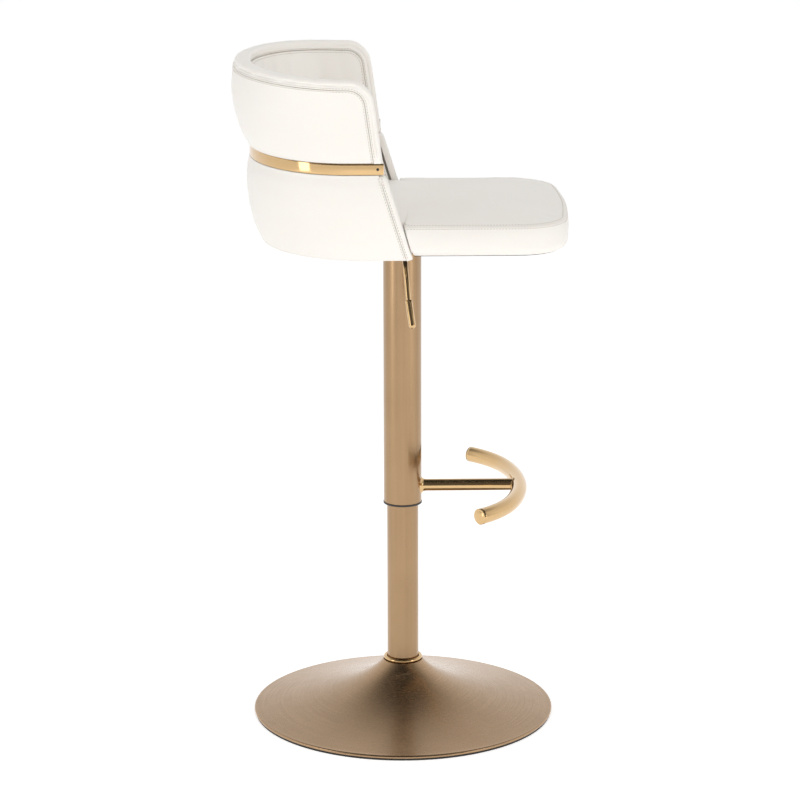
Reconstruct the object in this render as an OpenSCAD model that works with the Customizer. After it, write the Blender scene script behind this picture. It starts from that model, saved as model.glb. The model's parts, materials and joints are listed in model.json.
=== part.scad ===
// Swivel bar stool: padded bucket seat on a height-adjustable gas column,
// with a curved footrest on the outer sleeve and a trumpet base.
// Millimetres. Origin on the column axis at floor level, +Z up, the stool faces -Y.

/* [Base] */
// Outside radius of the trumpet base
base_r = 240; // [200:1:290]
// Height of the base surface at its rim
rim_z = 7.5; // [6:0.5:10]
// Height of the trumpet's neck under the collar
neck_z = 86; // [70:1:105]
// Sheet thickness of the base, measured straight down
base_sheet = 2.2; // [1.5:0.1:3]
// Radius of the rolled bead around the rim
rim_bead_r = 2.6; // [1.5:0.1:3]
// Radius of the bead that the collar ring is rolled from
collar_bead_r = 3; // [2:0.1:4]
// Thickness of the ballast plate
ballast_t = 5; // [4:0.5:9]
// Height of the rubber floor ring's ledge
ledge_z = 6; // [5:0.5:6.5]
// Width of the rubber floor ring
floor_ring_w = 16; // [12:1:24]

/* [Column] */
// Outside radius of the fixed column
column_r = 25; // [20:0.1:28]
// Wall of the fixed column
column_wall = 2; // [1.2:0.1:3]
// Outside radius of the sleeve that rises with the seat
sleeve_r = 30; // [29:0.5:36]
// Wall of the sleeve
sleeve_wall = 1.8; // [1.2:0.1:3]
// Height of the sleeve's lower end with the seat at its highest
sleeve_z = 350; // [320:1:420]
// Length of column that stays inside the sleeve
sleeve_overlap = 90; // [60:1:120]
// Travel of the seat
stroke = 215; // [150:1:230]
// Height of the plastic ring at the sleeve's lower end
ring_h = 2.5; // [1.5:0.1:6]
// Length of the plastic ring's spigot inside the sleeve
ring_spigot = 26; // [15:1:40]
// Length of the guide bush at the column's top
guide_bush_len = 80; // [50:1:90]

/* [Gas spring] */
// Outside radius of the pressure cylinder
cylinder_r = 14; // [12:0.5:15]
// Wall of the pressure cylinder
cylinder_wall = 2; // [1.5:0.1:3]
// Radius of the piston rod
rod_r = 5; // [4:0.5:6]
// Radius of the rod's neck below its shoulder
rod_neck_r = 4; // [3:0.1:4.5]
// Length of the taper that holds the seat plate's hub
taper_len = 40; // [30:1:50]
// How much the taper narrows, on the radius
taper_drop = 0.8; // [0.4:0.1:1.5]
// Radius of the release pin
pin_r = 3.5; // [3:0.1:4]
// Radius of a thrust bearing ball
ball_r = 1.5; // [1:0.1:2]
// Number of balls in the thrust bearing
ball_count = 12; // [8:1:12]
// Height of the rubber buffer
buffer_h = 12; // [8:1:20]

/* [Footrest] */
// Height of the footrest's centreline with the seat at its highest
footrest_z = 375.5; // [370:0.5:440]
// Reach of the footrest's centreline in front of the column axis
footrest_reach = 185; // [140:1:220]
// Radius of the footrest tube
footrest_r = 12.5; // [10:0.5:16]
// Wall of the footrest and stem tubes
footrest_wall = 1.5; // [1:0.1:2.5]
// Bend radius of the footrest's middle stretch
middle_bend_r = 320; // [280:1:400]
// Half the width of the middle stretch
middle_half_w = 100; // [80:1:110]
// Bend radius of the footrest's two ends
end_bend_r = 174; // [150:1:260]
// Turn of each end bend, in degrees
end_bend_turn = 31.8; // [20:0.1:34]
// Radius of the stem between the sleeve and the footrest
stem_r = 9.5; // [7:0.5:12]

/* [Lever] */
// Radius of the lever's rod
lever_r = 4; // [3:0.1:4.5]
// Radius of the lever's grip
grip_r = 5.5; // [5:0.1:8]
// Distance of the lever's pivot from the column axis
pivot_x = 30; // [28:0.5:40]
// Radius of the pivot pin
pivot_pin_r = 2.5; // [2:0.1:2.6]

/* [Seat] */
// Height of the seat board's underside with the seat at its highest
seat_z = 788; // [650:1:950]
// Half the width of the seat cushion at the front
seat_half_w = 197; // [186:1:240]
// Reach of the seat cushion in front of the column axis
seat_front = 251; // [215:1:290]
// Radius of the seat's two front corners in plan
seat_corner_r = 80; // [50:1:95]
// How far the front edge bows out between its corners
seat_bow = 6; // [0:1:14]
// Height of the cushion from its underside to its top seam
seat_band_h = 45; // [35:1:60]
// Height of the cushion's crown above its top seam
seat_crown = 12; // [6:1:20]
// Thickness of the plywood seat board
board_t = 12; // [9:1:18]
// How far the board's edge stands in from the cushion's side
board_inset = 14; // [10:1:20]

/* [Back] */
// Half the width of the back at its waist
back_half_w = 198; // [185:1:215]
// Reach of the back behind the column axis at its waist
back_reach = 236; // [215:1:270]
// Full thickness of the padded back at its rim
back_t = 25; // [23:1:34]
// Thickness of the moulded plywood back
core_t = 8; // [6:0.5:10]
// Height of the rim's front end above the seat board's underside
rim_h = 269; // [240:1:300]
// Rise of the rim from its front ends to the rear
rim_rise = 7; // [0:0.5:12]
// Height of the sewn strip along the rim and down the front edges
strip_h = 14; // [10:1:18]
// Radius of the back's upper front corners
wing_corner_r = 40; // [30:1:50]
// Height of the trim band's lower edge above the seat board's underside
band_h0 = 125.5; // [115:0.5:132]
// Height of the trim band
band_h = 17; // [10:0.5:18]
// Thickness of the trim band
band_t = 1.8; // [1:0.1:2]

/* [Fasteners] */
// Radius of an M8 bolt's shank
bolt_r = 4; // [3:0.5:5]
// Radius of a bolt's head
bolt_head_r = 7; // [6:0.5:8]
// Height of a bolt's head
bolt_head_h = 4.2; // [3:0.1:4.4]
// Radius of the bolt circle that joins the column's flange to the ballast
foot_bolt_circle = 46; // [42:1:60]
// Half the spacing of the seat plate's bolts across the seat
plate_bolt_x = 65; // [50:1:75]
// Half the spacing of the seat plate's bolts along the seat
plate_bolt_y = 82; // [60:1:100]

/* [Fits] */
// Radial clearance of a running fit
run_gap = 0.05; // [0.02:0.01:0.1]
// Clearance between pieces that only lie near each other
near_gap = 0.4; // [0.2:0.1:1]

/* [Hidden] */

$fn = 64;
eps = 0.01;

// Clearances and small thicknesses
bolt_gap = 0.3;
neck_gap = 0.2;
neck_run_gap = 0.3;
ring_inset = 1.8;
ring_top = 2.3;
plate_washer_t = 1.6;
plate_washer_r = 8.5;
taper_gap = 0.03;
bracket_stand = 1.2;
tee_barrel_r = 5.5;
tee_flange_r = 10;
tee_flange_t = 1.2;
grub_r = 2.5;
skin_min = 1.5;
socket_wall = 1.2;

GOLD = "#b89a6c";
STEEL = "#b9bcc0";
BLACK_STEEL = "#2c2c2e";
BLACK_PLASTIC = "#1c1c1e";
RUBBER = "#242424";
LEATHER = "#f3f0ea";
PLY = "#cfae7c";

// Base levels
neck_r = column_r + 2 * collar_bead_r;
ballast_top = ledge_z + ballast_t;
ballast_r = base_r - 13;
ballast_bevel = 24;
flange_t = 6;
flange_r = foot_bolt_circle + 15;
flange_top = ballast_top + flange_t;
nut_h = 6.5;
centre_hole_r = 15;

// Thrust bearing and rod levels
race_t = 1.5;
race_r = 12;
lower_race_top = flange_top + race_t;
ball_gap = 0.02;
upper_race_z = lower_race_top + 2 * (ball_r + ball_gap);
shoulder_z = upper_race_z + race_t;
ball_circle = (rod_neck_r + race_r) / 2 + 0.4;
cage_t = 1.2;
washer_t = 1.5;
clip_t = 1.2;
clip_gap = 0.1;
rod_bottom = ballast_top - 6;
cylinder_z = shoulder_z + buffer_h + 20 + stroke;
piston_z = cylinder_z + 26;
piston_h = 12;
rod_top = piston_z + piston_h + 8;
piston_neck_r = rod_r - 2;
cylinder_top = seat_z - 24;
cylinder_bore = cylinder_r - cylinder_wall;
taper_z = cylinder_top - taper_len;
valve_h = 27;
cap_t = 7;

// Column and sleeve levels
column_top = sleeve_z + sleeve_overlap;
column_bore = column_r - column_wall;
sleeve_bore = sleeve_r - sleeve_wall;
sleeve_top = seat_z - 31;
spacer_h = 22;

// Seat plate, hub and lever levels
cover_t = 1;
plate_t = 3;
plate_top = seat_z - cover_t;
plate_z = plate_top - plate_t;
plate_x = plate_bolt_x + 15;
plate_y = plate_bolt_y + 16;
hub_r = 20;
pivot_z = plate_z - 8;
ear_t = 3;
ear_gap = 7;
ear_drop = 14;
pin_top = pivot_z - lever_r - 0.1;
pin_len = 27;
lever_fall = 9.7;
socket_len = 18;
// The lever rod's route, measured from the pivot
LEVER_ROUTE = [[-36, 0, -1.1], [-66, -0.6, -6.2], [-94, -1.4, -11], [-106, -2.6, -18],
    [-112, -3.6, -31], [-119, -5.3, -49], [-127, -7.2, -71], [-130, -8.1, -76.8],
    [-132.5, -8.8, -81.5]];
GRIP_START = [-127, -7.2, -71];
GRIP_END = [-145, -12.3, -105];

// Footrest bends
middle_turn = asin(middle_half_w / middle_bend_r);
middle_centre_y = middle_bend_r - footrest_reach;
end_centre_x = middle_half_w - end_bend_r * sin(middle_turn);
end_centre_y = middle_centre_y - (middle_bend_r - end_bend_r) * cos(middle_turn);

// Back: how far its outside stands proud of the waist, at heights above the board
SIDE_FLARE = [[-8, -11], [17, -3], [45, 2], [80, 4], [108, 3], [123, 0], [145, 1],
    [158, 4], [172, 6], [197, 8.5], [221, 9], [243, 8.5], [262, 7]];
REAR_FLARE = [[-8, -18], [17, -6], [45, 1], [80, 5], [108, 4], [123, 0.3], [145, 2],
    [158, 11], [172, 16.5], [197, 23.5], [221, 26.8], [243, 25.3], [262, 22.5]];
side_n = 5;
arc_n = 30;
band_z0 = seat_z + band_h0;
band_z1 = band_z0 + band_h;
back_z0 = seat_z - 8;
core_z0 = seat_z + 14;
rim_front_z = seat_z + rim_h;
seam_z = rim_front_z - strip_h;
core_lean_rear = 0.152;
// Gap between the plywood back and the trim band, and the padding inside the back
core_gap = 0.3;
inside_depth = back_t - band_t - core_gap - core_t - 2.9;
core_lean_side = 0.035;
pad_z0 = seat_z + 34;
// Levels that follow the round upper corners
corner_levels = [for (d = [24, 18, 12, 7, 3.5, 1.5, near_gap]) seam_z - d];

function clamp(v, lo, hi) = min(max(v, lo), hi);
function outer_a(z) = back_half_w + lookup(z - seat_z, SIDE_FLARE);
function outer_rear(z) = back_reach + lookup(z - seat_z, REAR_FLARE);
function core_a(z) = back_half_w - band_t - core_gap + core_lean_side * (z - band_z1);
function core_rear(z) = back_reach - band_t - core_gap + core_lean_rear * (z - band_z1);
// Where the straight sides end and the round rear starts
function bend_y(z) = 60 + 40 * clamp((z - back_z0) / (rim_front_z - back_z0), 0, 1);

// Front edge of the upper wings: a raked line that rolls over into the rim
wing_rake = 0.143;
wing_foot_y = 32;
wing_tilt = atan(wing_rake);
corner_z = rim_front_z - wing_corner_r;
corner_y = wing_foot_y + wing_rake * (corner_z - band_z1) + wing_corner_r / cos(wing_tilt);
// The edge itself, or a line that far inside it
function wing_front(z, inset) = let (r = wing_corner_r - inset)
    z <= corner_z + r * sin(wing_tilt)
    ? wing_foot_y + wing_rake * (z - band_z1) + inset / cos(wing_tilt)
    : corner_y - sqrt(max(0, pow(r, 2) - pow(z - corner_z, 2)));

// Front edge of the lower shell: a steeper rake with a small top corner
shell_rake = 0.31;
shell_foot_y = -11;
shell_corner_r = 14;
shell_strip_h = 10;
shell_tilt = atan(shell_rake);
shell_top = band_z0 - 0.5;
shell_corner_z = shell_top - shell_corner_r;
shell_corner_y = shell_foot_y + shell_rake * (shell_corner_z - seat_z)
    + shell_corner_r / cos(shell_tilt);
function shell_front(z) = shell_foot_y + shell_rake * (z - seat_z);
// Where the lower panel meets its edge strip, around the same corner
shell_seam_r = shell_corner_r - shell_strip_h - near_gap;
function shell_seam(z) = let (up = z - shell_corner_z)
    up <= shell_seam_r * sin(shell_tilt)
    ? shell_front(z) + (shell_strip_h + near_gap) / cos(shell_tilt)
    : up < shell_seam_r ? shell_corner_y - sqrt(pow(shell_seam_r, 2) - up * up)
    : shell_corner_y + near_gap;

// Front edge of whichever part of the back is at height z
function back_front(z) = z >= band_z0 ? wing_front(z, strip_h + near_gap)
    : min(shell_front(z), wing_front(band_z0, 0)) + strip_h + near_gap;

// How much higher a level of the upper panels lies at the rear than at its front ends
function rise_at(z) = rim_rise * clamp((z - band_z1) / (seam_z - band_z1), 0, 1);

// One level of a C-shaped wall, from its left front end around the rear to the right
function c_level(a, rear, front, z, rise) = let (b_y = bend_y(z)) concat(
    [for (i = [0:side_n - 1]) [-a, front + (b_y - front) * i / side_n, z]],
    [for (i = [0:arc_n]) let (t = 180 * i / arc_n)
        [-a * cos(t), b_y + (rear - b_y) * sin(t), z + rise * sin(t)]],
    [for (i = [side_n - 1:-1:0]) [a, front + (b_y - front) * i / side_n, z]]);

// A closed solid between two stacks of equally long open levels
module skin(outside, inside) {
    rows = len(outside);
    n = len(outside[0]);
    points = [for (level = concat(outside, inside)) for (p = level) p];
    function o(k, i) = k * n + i;
    function v(k, i) = (rows + k) * n + i;
    faces = concat(
        [for (k = [0:rows - 2]) for (i = [0:n - 2]) for (f = [0, 1])
            f == 0 ? [o(k, i), o(k, i + 1), o(k + 1, i)]
            : [o(k, i + 1), o(k + 1, i + 1), o(k + 1, i)]],
        [for (k = [0:rows - 2]) for (i = [0:n - 2]) for (f = [0, 1])
            f == 0 ? [v(k, i), v(k + 1, i), v(k, i + 1)]
            : [v(k, i + 1), v(k + 1, i), v(k + 1, i + 1)]],
        [for (i = [0:n - 2]) for (f = [0, 1])
            f == 0 ? [o(0, i), v(0, i), o(0, i + 1)] : [o(0, i + 1), v(0, i), v(0, i + 1)]],
        [for (i = [0:n - 2]) for (f = [0, 1])
            f == 0 ? [o(rows - 1, i), o(rows - 1, i + 1), v(rows - 1, i)]
            : [o(rows - 1, i + 1), v(rows - 1, i + 1), v(rows - 1, i)]],
        [for (k = [0:rows - 2]) for (f = [0, 1])
            f == 0 ? [o(k, 0), o(k + 1, 0), v(k, 0)] : [v(k, 0), o(k + 1, 0), v(k + 1, 0)]],
        [for (k = [0:rows - 2]) for (f = [0, 1])
            f == 0 ? [o(k, n - 1), v(k, n - 1), o(k + 1, n - 1)]
            : [v(k, n - 1), v(k + 1, n - 1), o(k + 1, n - 1)]]);
    polyhedron(points, [for (f = faces) [f[2], f[1], f[0]]], convexity = 8);
}

// A closed solid from a stack of equally long closed sections
module loft(sections) {
    rows = len(sections);
    n = len(sections[0]);
    points = [for (s = sections) for (p = s) p];
    sides = [for (k = [0:rows - 2]) for (i = [0:n - 1]) for (f = [0, 1])
        let (j = (i + 1) % n) f == 0 ? [k * n + i, (k + 1) * n + i, k * n + j]
        : [k * n + j, (k + 1) * n + i, (k + 1) * n + j]];
    polyhedron(points, concat(sides, [[for (i = [0:n - 1]) i]],
        [[for (i = [n - 1:-1:0]) (rows - 1) * n + i]]), convexity = 8);
}

module tube(r, bore, z0, z1) {
    translate([0, 0, z0]) difference() {
        cylinder(h = z1 - z0, r = r);
        translate([0, 0, -1]) cylinder(h = z1 - z0 + 2, r = bore);
    }
}

// Places children made along +Z so that they start at one point and run to another
module aim(from, to) {
    run = to - from;
    translate(from) rotate([0, acos(run[2] / norm(run)), atan2(run[1], run[0])]) children();
}

module bar(from, to, r) {
    aim(from, to) cylinder(h = norm(to - from), r = r);
}

// Half of the outline of a bar with one round end, ready to turn about its axis
module round_end_profile(r, length) {
    square([r, length]);
    intersection() {
        translate([0, length]) circle(r = r);
        square([r, length + r]);
    }
}

module hexagon(across, h) {
    cylinder(h = h, r = across / sqrt(3), $fn = 6);
}

// ---- Base ----

function flare_z(r) = rim_z + (neck_z - rim_z) * ln(base_r / r) / ln(base_r / neck_r);

module floor_ring() {
    color(RUBBER) rotate_extrude() polygon([
        [base_r - ring_inset - floor_ring_w, 0], [base_r - ring_inset, 0],
        [base_r - ring_inset, ring_top], [ballast_r + near_gap, ring_top],
        [ballast_r + near_gap, ledge_z], [base_r - ring_inset - floor_ring_w, ledge_z]]);
}

module ballast_plate() {
    color(BLACK_STEEL) difference() {
        rotate_extrude() polygon(concat([[0, ledge_z], [ballast_r, ledge_z]],
            [for (k = [0:4]) let (r = ballast_r - ballast_bevel * k / 4)
                [r, min(ballast_top, flare_z(r) - base_sheet - near_gap)]],
            [[0, ballast_top]]));
        translate([0, 0, ledge_z - 1]) cylinder(h = ballast_t + 2, r = centre_hole_r);
        foot_bolt_places() translate([0, 0, -1]) cylinder(h = 40, r = bolt_r + bolt_gap);
    }
}

module base_shell() {
    steps = 26;
    radii = [for (i = [0:steps]) (base_r - 2) * pow(neck_r / (base_r - 2), i / steps)];
    color(GOLD) rotate_extrude($fn = 128) union() {
        polygon(concat([for (r = radii) [r, flare_z(r)]],
            [for (i = [steps:-1:0]) [radii[i], flare_z(radii[i]) - base_sheet]]));
        translate([base_r - rim_bead_r, rim_z - rim_bead_r]) circle(r = rim_bead_r);
    }
}

module base_collar() {
    color(GOLD) rotate_extrude() translate([column_r + collar_bead_r, neck_z + collar_bead_r])
        circle(r = collar_bead_r);
}

module column() {
    color(GOLD) tube(column_r, column_bore, ballast_top, column_top);
}

module foot_bolt_places() {
    for (i = [0:3]) rotate([0, 0, 45 + 90 * i]) translate([foot_bolt_circle, 0, 0]) children();
}

module foot_flange() {
    color(BLACK_STEEL) {
        difference() {
            tube(flange_r, column_r, ballast_top, flange_top);
            foot_bolt_places() translate([0, 0, -1]) cylinder(h = 60, r = bolt_r + bolt_gap);
        }
        tube(column_bore, rod_neck_r + neck_gap, ballast_top, flange_top);
    }
}

module foot_bolts() {
    color(STEEL) foot_bolt_places() {
        translate([0, 0, ledge_z - bolt_head_h]) cylinder(h = bolt_head_h, r = bolt_head_r);
        translate([0, 0, ledge_z - eps]) cylinder(h = flange_top + 9 - ledge_z, r = bolt_r);
    }
}

module foot_nuts() {
    color(STEEL) foot_bolt_places() translate([0, 0, flange_top]) difference() {
        hexagon(13, nut_h);
        translate([0, 0, -1]) cylinder(h = nut_h + 2, r = bolt_r);
    }
}

module guide_bush() {
    color(BLACK_PLASTIC) {
        tube(column_bore, cylinder_r + run_gap, column_top - guide_bush_len, column_top);
        tube(column_r, cylinder_r + run_gap, column_top, column_top + 2);
    }
}

// ---- Thrust bearing and piston rod ----

module lower_race() {
    color(STEEL) tube(race_r, rod_neck_r + neck_run_gap, flange_top, lower_race_top);
}

module ball_places() {
    for (i = [0:ball_count - 1]) rotate([0, 0, 360 * i / ball_count])
        translate([ball_circle, 0, lower_race_top + ball_gap + ball_r]) children();
}

module bearing_cage() {
    middle = lower_race_top + ball_gap + ball_r;
    color(BLACK_PLASTIC) difference() {
        tube(race_r - 0.5, rod_neck_r + 0.5, middle - cage_t / 2, middle + cage_t / 2);
        ball_places() translate([0, 0, -cage_t]) cylinder(h = 2 * cage_t, r = ball_r + 0.05);
    }
}

module bearing_balls() {
    color(STEEL) ball_places() sphere(r = ball_r);
}

module upper_race() {
    color(STEEL) tube(race_r, rod_neck_r + 0.02, upper_race_z, shoulder_z);
}

module piston_rod() {
    clip_z = ballast_top - washer_t - clip_t - clip_gap;
    color(STEEL) difference() {
        union() {
            translate([0, 0, rod_bottom]) cylinder(h = shoulder_z - rod_bottom, r = rod_neck_r);
            translate([0, 0, shoulder_z]) cylinder(h = piston_z - shoulder_z, r = rod_r);
            translate([0, 0, piston_z]) cylinder(h = rod_top - piston_z, r = piston_neck_r);
        }
        tube(rod_neck_r + 1, rod_neck_r - 0.8, clip_z, clip_z + clip_t);
    }
}

module rod_washer() {
    color(STEEL) tube(11, rod_neck_r + neck_gap, ballast_top - washer_t - clip_gap,
        ballast_top - clip_gap);
}

module rod_clip() {
    clip_z = ballast_top - washer_t - clip_t - clip_gap;
    color(STEEL) difference() {
        tube(rod_neck_r + 3, rod_neck_r - 0.8, clip_z, clip_z + clip_t);
        translate([-1.5, -20, clip_z - 1]) cube([3, 20, clip_t + 2]);
    }
}

module rod_buffer() {
    color(RUBBER) tube(11, rod_r, shoulder_z, shoulder_z + buffer_h);
}

module piston() {
    color(STEEL) tube(cylinder_bore - run_gap, piston_neck_r, piston_z, piston_z + piston_h);
}

module piston_nut() {
    color(STEEL) translate([0, 0, piston_z + piston_h]) difference() {
        hexagon(12, 5);
        translate([0, 0, -1]) cylinder(h = 7, r = piston_neck_r);
    }
}

// ---- Gas cylinder ----

module gas_cylinder() {
    color(BLACK_STEEL) difference() {
        union() {
            translate([0, 0, cylinder_z]) cylinder(h = taper_z - cylinder_z, r = cylinder_r);
            translate([0, 0, taper_z])
                cylinder(h = taper_len, r1 = cylinder_r, r2 = cylinder_r - taper_drop);
        }
        translate([0, 0, cylinder_z + 3])
            cylinder(h = cylinder_top - cap_t - cylinder_z - 3, r = cylinder_bore);
        translate([0, 0, cylinder_z - 1]) cylinder(h = 5, r = rod_r + 2);
        translate([0, 0, cylinder_top - cap_t - 1]) cylinder(h = cap_t + 2, r = pin_r + run_gap);
    }
}

module rod_guide() {
    color(BLACK_PLASTIC) tube(cylinder_bore, rod_r + run_gap, cylinder_z + 3, cylinder_z + 15);
}

module rod_seal() {
    color(RUBBER) tube(cylinder_bore, rod_r + run_gap, cylinder_z + 15, cylinder_z + 19);
}

module valve_block() {
    color(STEEL) tube(cylinder_bore, pin_r + run_gap, cylinder_top - cap_t - valve_h,
        cylinder_top - cap_t);
}

module release_pin() {
    color(STEEL) translate([0, 0, pin_top - pin_len]) cylinder(h = pin_len, r = pin_r);
}

// ---- Sleeve and footrest ----

module sleeve() {
    color(GOLD) tube(sleeve_r, sleeve_bore, sleeve_z, sleeve_top);
}

module sleeve_ring() {
    color(BLACK_PLASTIC) {
        tube(sleeve_r + 0.6, column_r + run_gap, sleeve_z - ring_h, sleeve_z);
        tube(sleeve_bore, column_r + run_gap, sleeve_z, sleeve_z + ring_spigot);
    }
}

module grub_places() {
    for (i = [0:2]) rotate([0, 0, 90 + 120 * i])
        translate([0, 0, sleeve_top - spacer_h / 2]) rotate([0, 90, 0]) children();
}

module sleeve_spacer() {
    color(STEEL) difference() {
        tube(sleeve_bore, hub_r, sleeve_top - spacer_h, sleeve_top);
        grub_places() cylinder(h = sleeve_r, r = grub_r);
    }
}

module grub_screws() {
    color(STEEL) grub_places() translate([0, 0, hub_r])
        cylinder(h = sleeve_bore - hub_r - 0.5, r = grub_r);
}

module footrest_solid(r) {
    translate([0, 0, footrest_z]) {
        translate([0, middle_centre_y, 0]) rotate([0, 0, -90 - middle_turn])
            rotate_extrude(angle = 2 * middle_turn) translate([middle_bend_r, 0]) circle(r = r);
        for (side = [0, 1]) mirror([side, 0, 0]) translate([end_centre_x, end_centre_y, 0])
            rotate([0, 0, -90 + middle_turn]) rotate_extrude(angle = end_bend_turn)
                translate([end_bend_r, 0]) circle(r = r);
    }
}

module footrest_bar() {
    color(GOLD) difference() {
        footrest_solid(footrest_r);
        footrest_solid(footrest_r - footrest_wall);
    }
}

module footrest_end(side) {
    turn = middle_turn + end_bend_turn;
    mirror([side, 0, 0]) translate([end_centre_x + end_bend_r * sin(turn),
        end_centre_y - end_bend_r * cos(turn), footrest_z])
        rotate([0, 90, turn]) children();
}

module footrest_caps() {
    dome_h = 2.5;
    color(GOLD) for (side = [0, 1]) footrest_end(side) {
        rotate_extrude() intersection() {
            translate([0, -(footrest_r * footrest_r - dome_h * dome_h) / (2 * dome_h)])
                circle(r = (footrest_r * footrest_r + dome_h * dome_h) / (2 * dome_h),
                    $fn = 256);
            square([footrest_r, dome_h]);
        }
        translate([0, 0, -6]) cylinder(h = 6 + eps, r = footrest_r - footrest_wall - 0.4);
    }
}

module stem_solid(r) {
    translate([0, 0, footrest_z]) rotate([90, 0, 0]) cylinder(h = footrest_reach, r = r);
}

module footrest_stem() {
    color(GOLD) difference() {
        stem_solid(stem_r);
        stem_solid(stem_r - footrest_wall);
        translate([0, 0, footrest_z - 30]) cylinder(h = 60, r = sleeve_r);
        footrest_solid(footrest_r);
    }
}

module stem_flange() {
    color(GOLD) difference() {
        translate([0, -sleeve_r + 3, footrest_z]) rotate([90, 0, 0]) rotate_extrude()
            difference() {
                translate([stem_r, 0]) square([5, 9]);
                translate([stem_r + 5, 9.5]) circle(r = 4.5);
            }
        translate([0, 0, footrest_z - 30]) cylinder(h = 60, r = sleeve_r);
    }
}

// ---- Seat plate and lever ----

module plate_bolt_places() {
    for (x = [-1, 1]) for (y = [-1, 1])
        translate([x * plate_bolt_x, y * plate_bolt_y, 0]) children();
}

module plate_hub() {
    color(BLACK_STEEL) difference() {
        translate([0, 0, taper_z]) cylinder(h = plate_z - taper_z, r = hub_r);
        translate([0, 0, taper_z]) cylinder(h = taper_len,
            r1 = cylinder_r + taper_gap, r2 = cylinder_r - taper_drop + taper_gap);
        translate([0, 0, taper_z - 1]) cylinder(h = 1 + eps, r = cylinder_r + taper_gap);
        translate([0, 0, cylinder_top - eps]) cylinder(h = 60, r = cylinder_r - taper_drop);
        translate([-hub_r - 1, -lever_r - 1.2, pivot_z - 8])
            cube([hub_r + 1, 2 * lever_r + 2.4, 40]);
    }
}

module seat_plate() {
    corner = 12;
    color(BLACK_STEEL) difference() {
        translate([0, 0, plate_z]) linear_extrude(plate_t) difference() {
            union() {
                square([2 * plate_x - 2 * corner, 2 * plate_y], center = true);
                square([2 * plate_x, 2 * plate_y - 2 * corner], center = true);
                for (x = [-1, 1]) for (y = [-1, 1])
                    translate([x * (plate_x - corner), y * (plate_y - corner)])
                        circle(r = corner);
            }
            for (y = [-1, 1]) translate([0, y * (plate_bolt_y - 24)]) circle(r = 12);
        }
        plate_bolt_places() translate([0, 0, plate_z - 1]) cylinder(h = 6, r = bolt_r + bolt_gap);
    }
}

module lever_bracket() {
    color(BLACK_STEEL) for (side = [-1, 1]) difference() {
        translate([-pivot_x - 8, side > 0 ? ear_gap : -ear_gap - ear_t, plate_z - ear_drop])
            cube([16, ear_t, ear_drop]);
        translate([-pivot_x, 0, pivot_z]) rotate([90, 0, 0])
            cylinder(h = 60, r = pivot_pin_r, center = true);
    }
}

module pivot_pin() {
    color(STEEL) translate([-pivot_x, 0, pivot_z]) rotate([90, 0, 0])
        cylinder(h = 2 * (ear_gap + ear_t) + 3, r = pivot_pin_r, center = true);
}

module lever_pivot() {
    socket = [-sin(90 - lever_fall), 0, -sin(lever_fall)];
    color(BLACK_STEEL) translate([-pivot_x, 0, pivot_z]) difference() {
        union() {
            rotate([90, 0, 0])
                cylinder(h = 2 * ear_gap - 1, r = pivot_pin_r + 2.4, center = true);
            rotate([0, 90, 0]) rotate_extrude() round_end_profile(lever_r, pivot_x);
            bar([0, 0, 0], socket_len * socket, lever_r + socket_wall);
        }
        bar(4.9 * socket, (socket_len + 1) * socket, lever_r + 0.3);
        rotate([90, 0, 0]) cylinder(h = 60, r = pivot_pin_r + run_gap, center = true);
    }
}

// A point on the smooth curve through a route's points, at t along its span i
function on_curve(route, i, t) = let (
        last = len(route) - 1,
        a = route[max(i - 1, 0)], b = route[i], c = route[i + 1], d = route[min(i + 2, last)])
    0.5 * (2 * b + (c - a) * t + (2 * a - 5 * b + 4 * c - d) * t * t
        + (3 * b - a - 3 * c + d) * t * t * t);

module swept_rod(route, r, steps, sides) {
    path = concat([for (i = [0:len(route) - 2]) for (k = [0:steps - 1])
        on_curve(route, i, k / steps)], [route[len(route) - 1]]);
    last = len(path) - 1;
    loft([for (i = [0:last]) let (
            run = path[min(i + 1, last)] - path[max(i - 1, 0)],
            along = run / norm(run),
            side = cross(along, [0, 1, 0]) / norm(cross(along, [0, 1, 0])),
            up = cross(side, along))
        [for (k = [0:sides - 1]) let (t = 360 * k / sides)
            path[i] + r * (cos(t) * side + sin(t) * up)]]);
}

module lever_rod() {
    color(GOLD) translate([-pivot_x, 0, pivot_z]) swept_rod(
        [for (p = LEVER_ROUTE) p + [pivot_x, 0, 0]], lever_r, 4, 16);
}

module lever_grip() {
    from = GRIP_START + [0, 0, pivot_z];
    to = GRIP_END + [0, 0, pivot_z];
    color(GOLD) aim(from, to) rotate_extrude() difference() {
        round_end_profile(grip_r, norm(to - from));
        square([lever_r + 0.1, 12.5]);
    }
}

module plate_bolts() {
    color(STEEL) plate_bolt_places() {
        translate([0, 0, plate_z - plate_washer_t - bolt_head_h]) cylinder(h = bolt_head_h, r = bolt_head_r);
        translate([0, 0, plate_z - plate_washer_t - eps])
            cylinder(h = plate_washer_t + plate_t + cover_t + board_t - 1, r = bolt_r);
    }
}

module plate_washers() {
    color(STEEL) plate_bolt_places() tube(plate_washer_r, bolt_r, plate_z - plate_washer_t, plate_z);
}

module tee_nuts() {
    color(STEEL) plate_bolt_places() {
        tube(tee_barrel_r, bolt_r, seat_z, seat_z + board_t);
        tube(tee_flange_r, bolt_r, seat_z + board_t, seat_z + board_t + tee_flange_t);
    }
}

// ---- Seat ----

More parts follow.
